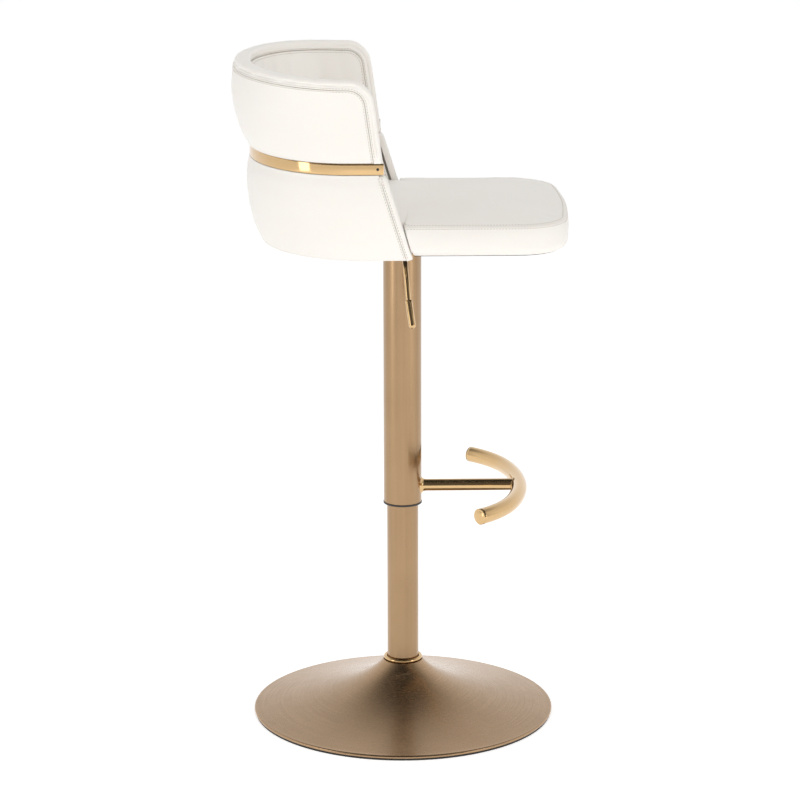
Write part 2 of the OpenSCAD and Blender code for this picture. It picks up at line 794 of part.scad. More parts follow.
// Plan outline of the seat, inset from the cushion's widest outline.
// The front is a rounded block; behind the shell's front edge it narrows to fit inside.
function seat_outline(z, inset) = let (
        w = seat_half_w - inset,
        front = -seat_front + inset,
        r = max(seat_corner_r - inset, 10),
        step_y = shell_front(z) - 1 - inset * 0.3,
        a = core_a(z) - core_t - inside_depth - 0.8 - inset * 0.4,
        rear = core_rear(z) - core_t - inside_depth - 0.8 - inset * 0.4,
        b_y = bend_y(z))
    concat(
        [for (i = [-5:5]) [i / 5 * (w - r), front - seat_bow * cos(i * 18)]],
        [for (i = [1:8]) let (t = -90 + 90 * i / 8)
            [w - r + r * cos(t), front + r + r * sin(t)]],
        [[w, (front + r + step_y) / 2], [w, step_y]],
        [for (i = [0:18]) let (t = 180 * i / 18)
            i == 0 ? [a, step_y] : i == 18 ? [-a, step_y]
            : [a * cos(t), b_y + (rear - b_y) * sin(t)]],
        [[-w, step_y], [-w, (front + r + step_y) / 2]],
        [for (i = [8:-1:1]) let (t = -90 + 90 * i / 8)
            [-w + r - r * cos(t), front + r + r * sin(t)]]);

function lift(outline, z) = [for (p = outline) [p[0], p[1], z]];
function shrink(outline, k) = [for (p = outline) [p[0] * k, -20 + (p[1] + 20) * k]];

module seat_cushion() {
    z1 = seat_z + seat_band_h;
    recess_z = seat_z + board_t + 1.6;
    side_in = [[0, 8], [4, 4], [11, 1], [24, 0], [38, 1], [seat_band_h, 4]];
    crown_k = [0.985, 0.95, 0.88, 0.76, 0.6, 0.4, 0.2];
    top = seat_outline(z1, 4);
    bottom = seat_outline(seat_z, board_inset - 0.5);
    color(LEATHER) loft(concat(
        [lift(shrink(seat_outline(seat_z, board_inset - 0.5), 0.3), recess_z),
            lift(bottom, recess_z), lift(bottom, seat_z)],
        [for (row = side_in) lift(seat_outline(seat_z + row[0], row[1]), seat_z + row[0])],
        [for (k = crown_k) lift(shrink(top, k), z1 + seat_crown * (1 - pow(k, 5)))]));
}

module seat_board() {
    color(PLY) difference() {
        translate([0, 0, seat_z]) linear_extrude(board_t)
            polygon(seat_outline(seat_z, board_inset));
        plate_bolt_places() translate([0, 0, seat_z - 1]) cylinder(h = board_t + 2, r = tee_barrel_r);
    }
}

module dust_cover() {
    color(BLACK_PLASTIC) difference() {
        translate([0, 0, seat_z - cover_t]) linear_extrude(cover_t)
            polygon(seat_outline(seat_z, board_inset - 3));
        plate_bolt_places() translate([0, 0, seat_z - 5]) cylinder(h = 10, r = bolt_r + bolt_gap);
    }
}

module cover_staples() {
    edge = seat_outline(seat_z, board_inset + 4);
    staple = [11, 1.2, 0.6];
    color(STEEL) for (i = [1:2:len(edge) - 1]) let (
            p = edge[i], q = edge[(i + 1) % len(edge)])
        translate([p[0], p[1], seat_z - cover_t - staple[2] / 2])
            rotate([0, 0, atan2(q[1] - p[1], q[0] - p[0])]) cube(staple, center = true);
}

// ---- Back ----

bracket_w = 30;
bracket_t = 3;
bracket_foot = 46;
bracket_up = 30;
bracket_screw_z = seat_z + 23;
bracket_screw_x = 8;
bracket_screw_r = 2;

module bracket_places() {
    side_y = 40;
    face_z = core_z0;
    translate([0, core_rear(face_z) - core_t - bracket_stand, 0]) children();
    for (side = [0, 1]) mirror([side, 0, 0])
        translate([core_a(face_z) - core_t - bracket_stand, side_y, 0]) rotate([0, 0, -90]) children();
}

module back_brackets() {
    color(BLACK_STEEL) bracket_places() difference() {
        union() {
            translate([-bracket_w / 2, -bracket_foot, seat_z - cover_t - bracket_t])
                cube([bracket_w, bracket_foot, bracket_t]);
            translate([-bracket_w / 2, -bracket_t, seat_z - cover_t - bracket_t])
                cube([bracket_w, bracket_t, bracket_t + cover_t + bracket_up]);
        }
        for (x = [-1, 1] * bracket_screw_x) {
            translate([x, 10 - bracket_foot, seat_z - 20])
                cylinder(h = 40, r = bracket_screw_r + 0.2);
            translate([x, 0, bracket_screw_z]) rotate([90, 0, 0])
                cylinder(h = 20, r = bracket_screw_r + 0.2, center = true);
        }
    }
}

module bracket_screw(length) {
    translate([0, 0, -2]) cylinder(h = 2, r = 2 * bracket_screw_r);
    translate([0, 0, -eps]) cylinder(h = length, r = bracket_screw_r);
}

module bracket_screws() {
    color(STEEL) bracket_places() {
        for (x = [-1, 1] * bracket_screw_x) {
            translate([x, 10 - bracket_foot, seat_z - cover_t - bracket_t])
                bracket_screw(bracket_t + 8);
            translate([x, -bracket_t, bracket_screw_z]) rotate([-90, 0, 0])
                bracket_screw(bracket_t + 7);
        }
    }
}

module back_core() {
    levels = [core_z0, band_z0, band_z1, seam_z - 22, seam_z - 12, seam_z - 6, seam_z - 3];
    color(PLY) skin(
        [for (z = levels) c_level(core_a(z), core_rear(z), back_front(z), z, 0)],
        [for (z = levels) c_level(core_a(z) - core_t, core_rear(z) - core_t,
            back_front(z), z, 0)]);
}

module inner_pad() {
    gap = near_gap / 2;
    depth = core_t + inside_depth;
    levels = concat([pad_z0, pad_z0 + 20, band_z0, band_z1, seam_z - 60], corner_levels);
    color(LEATHER) skin(
        [for (z = levels) c_level(core_a(z) - core_t - gap, core_rear(z) - core_t - gap,
            back_front(z), z, rise_at(z))],
        [for (z = levels) c_level(core_a(z) - depth, core_rear(z) - depth,
            back_front(z), z, rise_at(z))]);
}

module lower_pad() {
    hem = 4;
    core_foot = core_z0 - seat_z;
    levels = concat([for (h = [-8, -2, 6, core_foot - 0.6, core_foot, 20, 30, 45, 62, 80, 96,
        108]) seat_z + h], [for (d = [1, 2.6, shell_seam_r]) shell_corner_z + d],
        [shell_top - 4, shell_top]);
    color(LEATHER) skin(
        [for (z = levels) c_level(outer_a(z), outer_rear(z),
            shell_seam(z), z, 0)],
        [for (z = levels) c_level(
            (z < core_z0 ? outer_a(z) - hem : min(core_a(z) + 0.2, outer_a(z) - skin_min)),
            (z < core_z0 ? outer_rear(z) - hem : core_rear(z) + 0.2),
            shell_seam(z), z, 0)]);
}

module upper_pad() {
    gap = 0.3;
    levels = concat([band_z1 + 0.5], [for (h = [147, 152, 158, 165, 172, 184, 197, 209, 221])
        seat_z + h], corner_levels);
    color(LEATHER) skin(
        [for (z = levels) c_level(outer_a(z), outer_rear(z), back_front(z), z, rise_at(z))],
        [for (z = levels) let (at = z + rise_at(z)) c_level(
            min(core_a(at) + gap, outer_a(z) - skin_min), core_rear(at) + gap,
            back_front(z), z, rise_at(z))]);
}

// Stations along a front edge, each [y, z, outward y, outward z]
function edge_line(foot_y, z0, rake, z_from, z_to, n) = let (tilt = atan(rake))
    [for (i = [0:n]) let (z = z_from + (z_to - z_from) * i / n)
        [foot_y + rake * (z - z0), z, -cos(tilt), sin(tilt)]];
function edge_corner(y, z, r, tilt, n) = [for (i = [1:n]) let (t = tilt + (90 - tilt) * i / n)
    [y - r * cos(t), z + r * sin(t), -cos(t), sin(t)]];

// A point h below the edge and d in from the outside, on the left or the right wing
function wing_point(s, side, d, h) = let (y = s[0] - h * s[2], z = s[1] - h * s[3])
    [side * (outer_a(z) - d), y, z];
function rear_point(t, d, h) = let (
        z = rim_front_z - h, a = outer_a(z) - d, rear = outer_rear(z) - d)
    [-a * cos(t), bend_y(z) + (rear - bend_y(z)) * sin(t), z + rim_rise * sin(t)];

module rim_strip() {
    strip_drop = strip_h * sin(wing_tilt);
    covered_z = band_z1 + strip_drop + near_gap;
    section = [[0, strip_h], [0, 6], [3, 1.5], [7, 0], [back_t - 6, 0], [back_t - 1, 4],
        [back_t, strip_h]];
    stations = concat(
        edge_line(wing_foot_y, band_z1, wing_rake, band_z0 + strip_drop, covered_z, 1),
        edge_line(wing_foot_y, band_z1, wing_rake, covered_z + 1,
            corner_z + wing_corner_r * sin(wing_tilt), 4),
        edge_corner(corner_y, corner_z, wing_corner_r, wing_tilt, 8));
    function depth(s, p) = s[1] > covered_z + eps ? p[0]
        : max(p[0], outer_a(s[1] - p[1] * s[3]) - back_half_w + band_t + 0.2);
    color(LEATHER) loft(concat(
        [for (s = stations) [for (p = section) wing_point(s, -1, depth(s, p), p[1])]],
        [for (i = [0:arc_n]) [for (p = section) rear_point(180 * i / arc_n, p[0], p[1])]],
        [for (i = [len(stations) - 1:-1:0]) [for (p = section)
            wing_point(stations[i], 1, depth(stations[i], p), p[1])]]));
}

module lower_strip() {
    section = [[0, shell_strip_h], [0, 3], [3, 0], [back_t - 6, 0], [back_t - 2, 3],
        [back_t - 2, shell_strip_h]];
    stations = concat(
        edge_line(shell_foot_y, seat_z, shell_rake, back_z0 + 2,
            shell_corner_z + shell_corner_r * sin(shell_tilt), 6),
        edge_corner(shell_corner_y, shell_corner_z, shell_corner_r, shell_tilt, 5));
    color(LEATHER) for (side = [-1, 1]) mirror([side < 0 ? 0 : 1, 0, 0])
        loft([for (s = stations) [for (p = section) let (
                z = s[1] - p[1] * s[3],
                thick = outer_a(z) - core_a(z) + core_t + inside_depth)
            wing_point(s, -1, min(p[0], thick), p[1])]]);
}

module trim_band() {
    levels = [band_z0, band_z0 + 2, band_z1 - 2, band_z1];
    function proud(z) = (z > band_z0 + 1 && z < band_z1 - 1) ? 0.3 : 0;
    color(GOLD) skin(
        [for (z = levels) c_level(back_half_w + proud(z), back_reach + proud(z),
            wing_foot_y - 1, z, 0)],
        [for (z = levels) c_level(back_half_w - band_t, back_reach - band_t,
            wing_foot_y - 1, z, 0)]);
}

floor_ring();
ballast_plate();
base_shell();
base_collar();
column();
foot_flange();
foot_bolts();
foot_nuts();
guide_bush();
lower_race();
bearing_cage();
bearing_balls();
piston_rod();
upper_race();
rod_washer();
rod_clip();
rod_buffer();
piston();
piston_nut();
gas_cylinder();
rod_guide();
rod_seal();
valve_block();
release_pin();
sleeve();
sleeve_ring();
sleeve_spacer();
grub_screws();
stem_flange();
footrest_stem();
footrest_bar();
footrest_caps();
plate_hub();
seat_plate();
lever_bracket();
pivot_pin();
lever_pivot();
lever_rod();
lever_grip();
plate_bolts();
plate_washers();
tee_nuts();
dust_cover();
cover_staples();
seat_board();
seat_cushion();
back_brackets();
bracket_screws();
back_core();
inner_pad();
lower_pad();
lower_strip();
upper_pad();
rim_strip();
trim_band();
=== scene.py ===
"""Looks of a swivel bar stool: a leather bucket seat on gold metalwork.

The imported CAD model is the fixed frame. The padded leather pieces and the bright
metal pieces are built here around it, everything else keeps its CAD shape and gets
a finish. All lengths are metres, and the stool faces -Y.
"""

import json
import logging
import math
from dataclasses import dataclass, field
from enum import Enum

import bpy
import numpy as np
from mathutils import Matrix, Vector
from mathutils.bvhtree import BVHTree


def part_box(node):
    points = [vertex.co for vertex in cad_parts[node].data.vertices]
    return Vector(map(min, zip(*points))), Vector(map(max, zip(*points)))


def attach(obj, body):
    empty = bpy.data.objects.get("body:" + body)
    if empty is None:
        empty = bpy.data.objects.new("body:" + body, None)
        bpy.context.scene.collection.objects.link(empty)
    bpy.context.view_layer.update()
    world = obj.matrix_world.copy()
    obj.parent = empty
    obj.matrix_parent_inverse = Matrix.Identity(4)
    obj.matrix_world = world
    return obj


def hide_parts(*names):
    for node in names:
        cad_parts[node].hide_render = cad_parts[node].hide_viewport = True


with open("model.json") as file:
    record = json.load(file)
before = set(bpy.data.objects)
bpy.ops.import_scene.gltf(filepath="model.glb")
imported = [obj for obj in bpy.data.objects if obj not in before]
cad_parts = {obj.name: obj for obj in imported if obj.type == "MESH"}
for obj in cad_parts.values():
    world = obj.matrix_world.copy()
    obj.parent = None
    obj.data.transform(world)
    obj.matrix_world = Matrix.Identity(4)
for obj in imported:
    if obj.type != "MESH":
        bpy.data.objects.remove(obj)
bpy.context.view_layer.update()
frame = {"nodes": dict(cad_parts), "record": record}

log = logging.getLogger("stool")

Socket = bpy.types.NodeSocket
Piece = bpy.types.Object
TURN = 2 * math.pi


class Slot(Enum):
    """The record's material slots that new pieces take their finish from."""

    GOLD_BRUSHED = "gold_brushed"
    GOLD_SATIN = "gold_satin"
    GOLD_POLISHED = "gold_polished"
    LEATHER = "cream_leather"
    BLACK_STEEL = "black_steel"
    ZINC_STEEL = "zinc_steel"
    BEARING_STEEL = "bearing_steel"
    BLACK_PLASTIC = "black_plastic"
    RUBBER = "rubber"
    DUST_CLOTH = "dust_cloth"
    PLYWOOD = "plywood"


# ---- Finishes ----


class Graph:
    """A material's node graph, with its principled shader."""

    def __init__(self, name: str) -> None:
        """Starts an empty material of that name."""
        self.material = bpy.data.materials.new(name)
        self.material.use_nodes = True
        self.tree = self.material.node_tree
        self.shader = self.tree.nodes["Principled BSDF"]

    def add(self, kind: str, inputs: dict | None = None, **settings: object) -> bpy.types.Node:
        """Adds a node.

        Args:
            kind: The node's type, without its ShaderNode prefix.
            inputs: Values or sockets for its inputs, by name or index.
            settings: The node's own properties.

        Returns:
            The new node.
        """
        node = self.tree.nodes.new("ShaderNode" + kind)
        for key, value in settings.items():
            setattr(node, key, value)
        for key, value in (inputs or {}).items():
            self.feed(node.inputs[key], value)
        return node

    def feed(self, target: Socket, value: object) -> None:
        """Links a socket to the target, or sets the target to a plain value."""
        if isinstance(value, bpy.types.NodeSocket):
            self.tree.links.new(value, target)
        else:
            target.default_value = value

    def finish(self, **inputs: object) -> bpy.types.Material:
        """Feeds the shader and returns the material.

        Args:
            inputs: Shader inputs, with underscores in place of spaces.

        Returns:
            The finished material.
        """
        for key, value in inputs.items():
            self.feed(self.shader.inputs[key.replace("_", " ")], value)
        return self.material

    def place(self) -> Socket:
        """The point on the piece, in metres in the stool's frame."""
        return self.add("TexCoord").outputs["Object"]

    def stretch(self, scale: tuple[float, float, float], point: Socket | None = None) -> Socket:
        """The point scaled along each axis."""
        mapping = self.add("Mapping", {"Vector": point or self.place(), "Scale": scale})
        return mapping.outputs["Vector"]

    def noise(self, scale: float, detail: float = 2.0, point: Socket | None = None,
              rough: float = 0.5) -> Socket:
        """Soft noise from 0 to 1 at so many cycles a metre."""
        node = self.add("TexNoise", {"Vector": point or self.place(), "Scale": scale,
                                     "Detail": detail, "Roughness": rough})
        return node.outputs["Fac"]

    def math(self, operation: str, *values: object, clamp: bool = False) -> Socket:
        """One arithmetic step on sockets or numbers."""
        node = self.add("Math", dict(enumerate(values)), operation=operation, use_clamp=clamp)
        return node.outputs[0]

    def between(self, value: Socket, low: float, high: float) -> Socket:
        """A value from 0 to 1 spread over a range."""
        node = self.add("MapRange", {"Value": value, "To Min": low, "To Max": high})
        return node.outputs[0]

    def ramp(self, value: Socket, stops: list[tuple[float, tuple[float, float, float]]]) -> Socket:
        """A colour picked from stops by a value."""
        node = self.add("ValToRGB", {"Fac": value})
        elements = node.color_ramp.elements
        while len(elements) < len(stops):
            elements.new(1.0)
        for element, (at, colour) in zip(elements, stops):
            element.position = at
            element.color = (*colour, 1)
        return node.outputs["Color"]

    def blend(self, share: Socket, first: object, second: object) -> Socket:
        """Two colours mixed by a share."""
        node = self.add("Mix", data_type="RGBA")
        self.feed(node.inputs[0], share)
        for target, value in ((node.inputs[6], first), (node.inputs[7], second)):
            self.feed(target, (*value, 1) if isinstance(value, tuple) else value)
        return node.outputs[2]

    def bump(self, height: Socket, depth: float, strength: float = 1.0,
             under: Socket | None = None) -> Socket:
        """A normal raised by a height field of that real depth."""
        inputs = {"Height": height, "Distance": depth, "Strength": strength}
        if under is not None:
            inputs["Normal"] = under
        return self.add("Bump", inputs).outputs["Normal"]


@dataclass(frozen=True)
class Leather:
    """Smooth coated upholstery leather with a fine pebbled grain."""

    name: str = "cream leather"
    light: tuple[float, float, float] = (0.85, 0.82, 0.775)
    dark: tuple[float, float, float] = (0.81, 0.775, 0.72)
    # Colour of the painted shade that darkens the leather in its seam grooves.
    painted_seam_shade: tuple[float, float, float] = (0.75, 0.71, 0.65)
    pebble_size: float = 0.0011

    def material(self) -> bpy.types.Material:
        """Grain, tone drift, painted shade in the seam grooves and puckers along the sewn edges."""
        g = Graph(self.name)
        seam = g.add("Attribute", attribute_name="seam").outputs["Fac"]
        tone = g.noise(7.0, 3.0)
        fleck = g.noise(260.0, 2.0)
        shade = g.math("MULTIPLY_ADD", fleck, 0.25, g.math("MULTIPLY", tone, 0.8))
        base = g.blend(shade, self.light, self.dark)
        # Painted shade: the leather's colour is darkened towards each seam, as if shade fell into
        # the groove.
        depth = g.math("POWER", seam, 5.0)
        colour = g.blend(g.math("MULTIPLY", depth, 0.75), base, self.painted_seam_shade)
        warp = g.add("TexNoise", {"Vector": g.place(), "Scale": 180.0, "Detail": 1.0})
        point = g.add("VectorMath", {0: warp.outputs["Color"],
                      1: (0.0016, 0.0016, 0.0016)}, operation="MULTIPLY").outputs[0]
        moved = g.add("VectorMath", {0: g.place(), 1: point}, operation="ADD").outputs[0]
        cells = g.add("TexVoronoi", {"Vector": moved, "Scale": 1 / self.pebble_size,
                                     "Randomness": 0.9}, feature="SMOOTH_F1")
        pebble = g.math("SUBTRACT", 1.0, cells.outputs["Distance"])
        pucker = g.math("MULTIPLY", g.noise(95.0, 1.0), g.math("POWER", seam, 1.5))
        normal = g.bump(pucker, 0.0016, 0.6)
        normal = g.bump(g.noise(38.0, 2.0), 0.0006, 0.35, normal)
        normal = g.bump(pebble, 0.00007, 0.5, normal)
        normal = g.bump(g.noise(2600.0, 2.0), 0.00003, 0.35, normal)
        rough = g.math("ADD", g.between(tone, 0.40, 0.50),
                       g.math("MULTIPLY", cells.outputs["Distance"], 0.08))
        return g.finish(Base_Color=colour, Roughness=rough, Normal=normal,
                        Specular_IOR_Level=0.42, Coat_Weight=0.12, Coat_Roughness=0.32,
                        Sheen_Weight=0.04, Sheen_Roughness=0.4,
                        Subsurface_Weight=0.05, Subsurface_Scale=0.004)


@dataclass(frozen=True)
class Thread:
    """Bonded sewing thread, a shade darker than the leather."""

    name: str = "sewing thread"
    colour: tuple[float, float, float] = (0.60, 0.55, 0.47)
    shadow: tuple[float, float, float] = (0.42, 0.37, 0.30)

    def material(self) -> bpy.types.Material:
        """Twisted plies across each stitch."""
        g = Graph(self.name)
        twist = g.noise(2400.0, 1.0)
        colour = g.blend(twist, self.colour, self.shadow)
        return g.finish(Base_Color=colour, Roughness=g.between(twist, 0.5, 0.75),
                        Normal=g.bump(twist, 0.0002, 0.7), Specular_IOR_Level=0.35)


class GoldKind(Enum):
    """How a champagne-gold surface was worked."""

    SPUN = "spun gold"
    SATIN = "satin gold"
    POLISHED = "polished gold"


@dataclass(frozen=True)
class Gold:
    """Champagne-gold plating over worked steel."""

    kind: GoldKind
    light: tuple[float, float, float]
    dark: tuple[float, float, float]
    rough: tuple[float, float]
    line: tuple[float, float, float]
    line_depth: float
    grain: float = 0.0

    def material(self) -> bpy.types.Material:
        """Worked lines, thin cloudiness and rubbed tone."""
        g = Graph(self.kind.value)
        if self.kind is GoldKind.SPUN:
            parts = g.add("SeparateXYZ", {0: g.place()})
            x, y, z = parts.outputs
            out = g.math("SQRT", g.math("ADD", g.math("MULTIPLY", x, x),
                                        g.math("MULTIPLY", y, y)))
            turn = g.math("ARCTAN2", y, x)
            point = g.add("CombineXYZ", {0: out, 1: turn, 2: z}).outputs[0]
        else:
            point = g.place()
        lines = g.noise(1.0, 3.0, g.stretch(self.line, point), 0.65)
        cloud = g.noise(11.0, 4.0)
        smudge = g.noise(34.0, 5.0, rough=0.7)
        tone = g.math("MULTIPLY_ADD", lines, 0.45, g.math("MULTIPLY", cloud, 0.5))
        colour = g.blend(tone, self.light, self.dark)
        low, high = self.rough
        rough = g.math("ADD", g.between(lines, low, high),
                       g.math("MULTIPLY", g.math("POWER", smudge, 3.0), 0.12))
        normal = g.bump(lines, self.line_depth, 1.0)
        if self.kind is GoldKind.POLISHED:
            normal = g.bump(g.noise(60.0, 1.0), 0.00012, 0.5, normal)
        else:
            tangent = g.add("Tangent", direction_type="RADIAL", axis="Z").outputs[0]
            g.feed(g.shader.inputs["Tangent"], tangent)
        return g.finish(Base_Color=colour, Metallic=1.0, Roughness=rough, Normal=normal,
                        Anisotropic=self.grain, Coat_Weight=0.25, Coat_Roughness=0.08)


@dataclass(frozen=True)
class Steel:
    """Plain steel parts, plated or ground."""

    name: str
    light: tuple[float, float, float]
    dark: tuple[float, float, float]
    rough: float
    metal: float = 1.0

    def material(self) -> bpy.types.Material:
        """Cloudy plating with fine tool marks and worn patches."""
        g = Graph(self.name)
        cloud = g.noise(70.0, 4.0, rough=0.65)
        marks = g.noise(1.0, 2.0, g.stretch((180.0, 180.0, 2600.0)))
        colour = g.blend(cloud, self.light, self.dark)
        rough = g.between(cloud, self.rough - 0.08, self.rough + 0.12)
        return g.finish(Base_Color=colour, Metallic=self.metal, Roughness=rough,
                        Normal=g.bump(marks, 0.00002, 0.8))


@dataclass(frozen=True)
class Moulded:
    """Moulded plastic or rubber with a spark-eroded skin."""

    name: str
    light: tuple[float, float, float]
    dark: tuple[float, float, float]
    rough: float
    skin: float = 0.00004

    def material(self) -> bpy.types.Material:
        """A fine even texture with duller rubbed areas."""
        g = Graph(self.name)
        grit = g.noise(1900.0, 3.0, rough=0.6)
        rub = g.noise(24.0, 3.0)
        colour = g.blend(rub, self.light, self.dark)
        return g.finish(Base_Color=colour, Normal=g.bump(grit, self.skin, 0.7),
                        Roughness=g.between(rub, self.rough - 0.07, self.rough + 0.07))


@dataclass(frozen=True)
class DustCloth:
    """Black spunbonded cloth under the seat."""

    name: str = "dust cloth"
    light: tuple[float, float, float] = (0.035, 0.034, 0.036)
    dark: tuple[float, float, float] = (0.012, 0.012, 0.013)

    def material(self) -> bpy.types.Material:
        """A diamond of pressed dots over loose fibres."""
        g = Graph(self.name)
        fibre = g.noise(900.0, 4.0, rough=0.75)
        dots = g.add("TexVoronoi", {"Vector": g.place(), "Scale": 420.0, "Randomness": 0.1})
        height = g.math("MULTIPLY_ADD", fibre, 0.5, dots.outputs["Distance"])
        colour = g.blend(height, self.dark, self.light)
        return g.finish(Base_Color=colour, Roughness=0.9, Normal=g.bump(height, 0.0002, 0.8),
                        Sheen_Weight=0.2, Sheen_Roughness=0.5, Specular_IOR_Level=0.2)


@dataclass(frozen=True)
class Plywood:
    """Birch plywood, its faces hidden under the padding."""

    name: str = "birch plywood"
    light: tuple[float, float, float] = (0.62, 0.45, 0.27)
    dark: tuple[float, float, float] = (0.38, 0.24, 0.12)

    def material(self) -> bpy.types.Material:
        """Long grain with darker pores and stacked veneers on the edges."""
        g = Graph(self.name)
        grain = g.noise(1.0, 5.0, g.stretch((260.0, 14.0, 700.0)), 0.7)
        colour = g.blend(grain, self.light, self.dark)
        return g.finish(Base_Color=colour, Roughness=g.between(grain, 0.55, 0.75),
                        Normal=g.bump(grain, 0.0002, 0.5))


SPUN_GOLD = Gold(GoldKind.SPUN, (0.50, 0.33, 0.19), (0.38, 0.24, 0.13), (0.20, 0.32),
                 (900.0, 1.2, 500.0), 0.000012, 0.75)
SATIN_GOLD = Gold(GoldKind.SATIN, (0.45, 0.30, 0.168), (0.28, 0.17, 0.085), (0.14, 0.30),
                  (170.0, 170.0, 1.6), 0.000010, 0.35)
POLISHED_GOLD = Gold(GoldKind.POLISHED, (0.68, 0.46, 0.23), (0.60, 0.40, 0.19), (0.06, 0.11),
                     (70.0, 70.0, 70.0), 0.000004)
THREAD = Thread()
FINISHES = {
    Slot.GOLD_BRUSHED: SPUN_GOLD,
    Slot.GOLD_SATIN: SATIN_GOLD,
    Slot.GOLD_POLISHED: POLISHED_GOLD,
    Slot.LEATHER: Leather(),
    Slot.BLACK_STEEL: Steel("black steel", (0.05, 0.05, 0.052), (0.02, 0.02, 0.021), 0.42, 0.4),
    Slot.ZINC_STEEL: Steel("zinc-plated steel", (0.66, 0.67, 0.69), (0.46, 0.47, 0.50), 0.32),
    Slot.BEARING_STEEL: Steel("ground steel", (0.74, 0.74, 0.75), (0.60, 0.60, 0.62), 0.16),
    Slot.BLACK_PLASTIC: Moulded("black plastic", (0.03, 0.03, 0.031), (0.014, 0.014, 0.015), 0.4),
    Slot.RUBBER: Moulded("black rubber", (0.032, 0.031, 0.030), (0.018, 0.018, 0.017), 0.78,
                         0.00008),
    Slot.DUST_CLOTH: DustCloth(),
    Slot.PLYWOOD: Plywood(),
}


class FinishBook:
    """Every finish made once, and handed out by name."""

    def __init__(self) -> None:
        """Makes the materials."""
        self.made = {slot: finish.material() for slot, finish in FINISHES.items()}
        self.thread = THREAD.material()

    def dress(self, piece: Piece, slot: Slot) -> Piece:
        """Gives a new piece the finish of a slot."""
        piece.data.materials.clear()
        piece.data.materials.append(self.made[slot])
        return piece

    def fit(self, piece: Piece, slot: Slot, body: str, *nodes: str) -> Piece:
        """Dresses a new piece, sets it on its body and hides the nodes that it stands in for."""
        self.dress(piece, slot)
        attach(piece, body)
        if nodes:
            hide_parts(*nodes)
        return piece

    def dress_frame(self) -> None:
        """Gives every CAD node the finish of its own slot."""
        for part in frame["record"]["subparts"]:
            node = frame["nodes"][part["node"]]
            finish = self.made[Slot(part["material_slot"])]
            for place in node.material_slots:
                place.material = finish


# ---- Mesh work ----


def build(name: str, points: np.ndarray, faces: list[tuple[int, ...]]) -> Piece:
    """Makes a smooth-shaded mesh piece.

    Args:
        name: The piece's name.
        points: Vertex places, one row each.
        faces: Vertex numbers of each face.

    Returns:
        The new piece, linked to the scene.
    """
    mesh = bpy.data.meshes.new(name)
    mesh.from_pydata(np.asarray(points, float).reshape(-1, 3).tolist(), [], faces)
    mesh.validate()
    mesh.polygons.foreach_set("use_smooth", [True] * len(mesh.polygons))
    mesh.update()
    piece = bpy.data.objects.new(name, mesh)
    bpy.context.scene.collection.objects.link(piece)
    return piece


def weave(rows: int, columns: int, start: int = 0, round_rows: bool = False,
          round_columns: bool = False) -> list[tuple[int, ...]]:
    """Quads over a grid of vertices laid out row by row.

    Args:
        rows: Number of rows.
        columns: Number of vertices in a row.
        start: Number of the grid's first vertex.
        round_rows: Whether the last row joins the first.
        round_columns: Whether the last column joins the first.

    Returns:
        The faces.
    """
    faces = []
    for r in range(rows if round_rows else rows - 1):
        for c in range(columns if round_columns else columns - 1):
            r2, c2 = (r + 1) % rows, (c + 1) % columns
            faces.append((start + r * columns + c, start + r * columns + c2,
                          start + r2 * columns + c2, start + r2 * columns + c))
    return faces


def lathe(name: str, profile: list[tuple[float, float]], turns: int = 144,
          closed: bool = True) -> Piece:
    """Turns a profile about the vertical axis.

    Args:
        name: The piece's name.
        profile: Points of radius and height, outside upwards.
        turns: Number of steps round the axis.
        closed: Whether the profile's end joins its start.

    Returns:
        The new piece.
    """
    angle = np.linspace(0, TURN, turns, endpoint=False)
    rows = [np.stack([r * np.cos(angle), r * np.sin(angle), np.full(turns, z)], 1)
            for r, z in profile]
    return build(name, np.array(rows), weave(len(rows), turns, 0, closed, True))


def tube_profile(radius: float, bore: float, low: float, high: float,
                 ease: float = 0.0006) -> list[tuple[float, float]]:
    """Half section of a tube whose outer edges are eased.

    Args:
        radius: Outside radius.
        bore: Inside radius.
        low: Height of the lower end.
        high: Height of the upper end.
        ease: Size of the eased edge.

    Returns:
        The section's points of radius and height.
    """
    return [(bore, low), (radius - ease, low), (radius - ease * 0.3, low + ease * 0.3),
            (radius, low + ease), (radius, low + 4 * ease), (radius, high - 4 * ease),
            (radius, high - ease), (radius - ease * 0.3, high - ease * 0.3),
            (radius - ease, high), (bore, high)]


def circle(centre: object, first: object, second: object, radius: float,
           sides: int) -> list[object]:
    """Points round a circle that lies in the plane of two directions."""
    turns = [TURN * k / sides for k in range(sides)]
    return [centre + radius * (math.cos(t) * first + math.sin(t) * second) for t in turns]


def end_face(start: int, sides: int, flip: bool = False) -> tuple[int, ...]:
    """One face over a ring of vertices, from its first vertex's number."""
    ring = range(start, start + sides)
    return tuple(reversed(ring)) if flip else tuple(ring)


def rings_along(path: np.ndarray, radii: np.ndarray, sides: int) -> np.ndarray:
    """Circles square to a path, without twist.

    Args:
        path: Points of the centreline.
        radii: Radius at each point.
        sides: Number of points in each circle.

    Returns:
        Points by circle and side.
    """
    run = np.gradient(path, axis=0)
    run /= np.linalg.norm(run, axis=1, keepdims=True)
    side = np.cross(run[0], (0.0, 0.0, 1.0))
    if np.linalg.norm(side) < 0.1:
        side = np.cross(run[0], (0.0, 1.0, 0.0))
    angle = np.linspace(0, TURN, sides, endpoint=False)[:, None]
    rings = []
    for centre, along, radius in zip(path, run, radii):
        side = side - along * np.dot(side, along)
        side /= np.linalg.norm(side)
        up = np.cross(along, side)
        rings.append(centre + radius * (np.cos(angle) * side + np.sin(angle) * up))
    return np.array(rings)


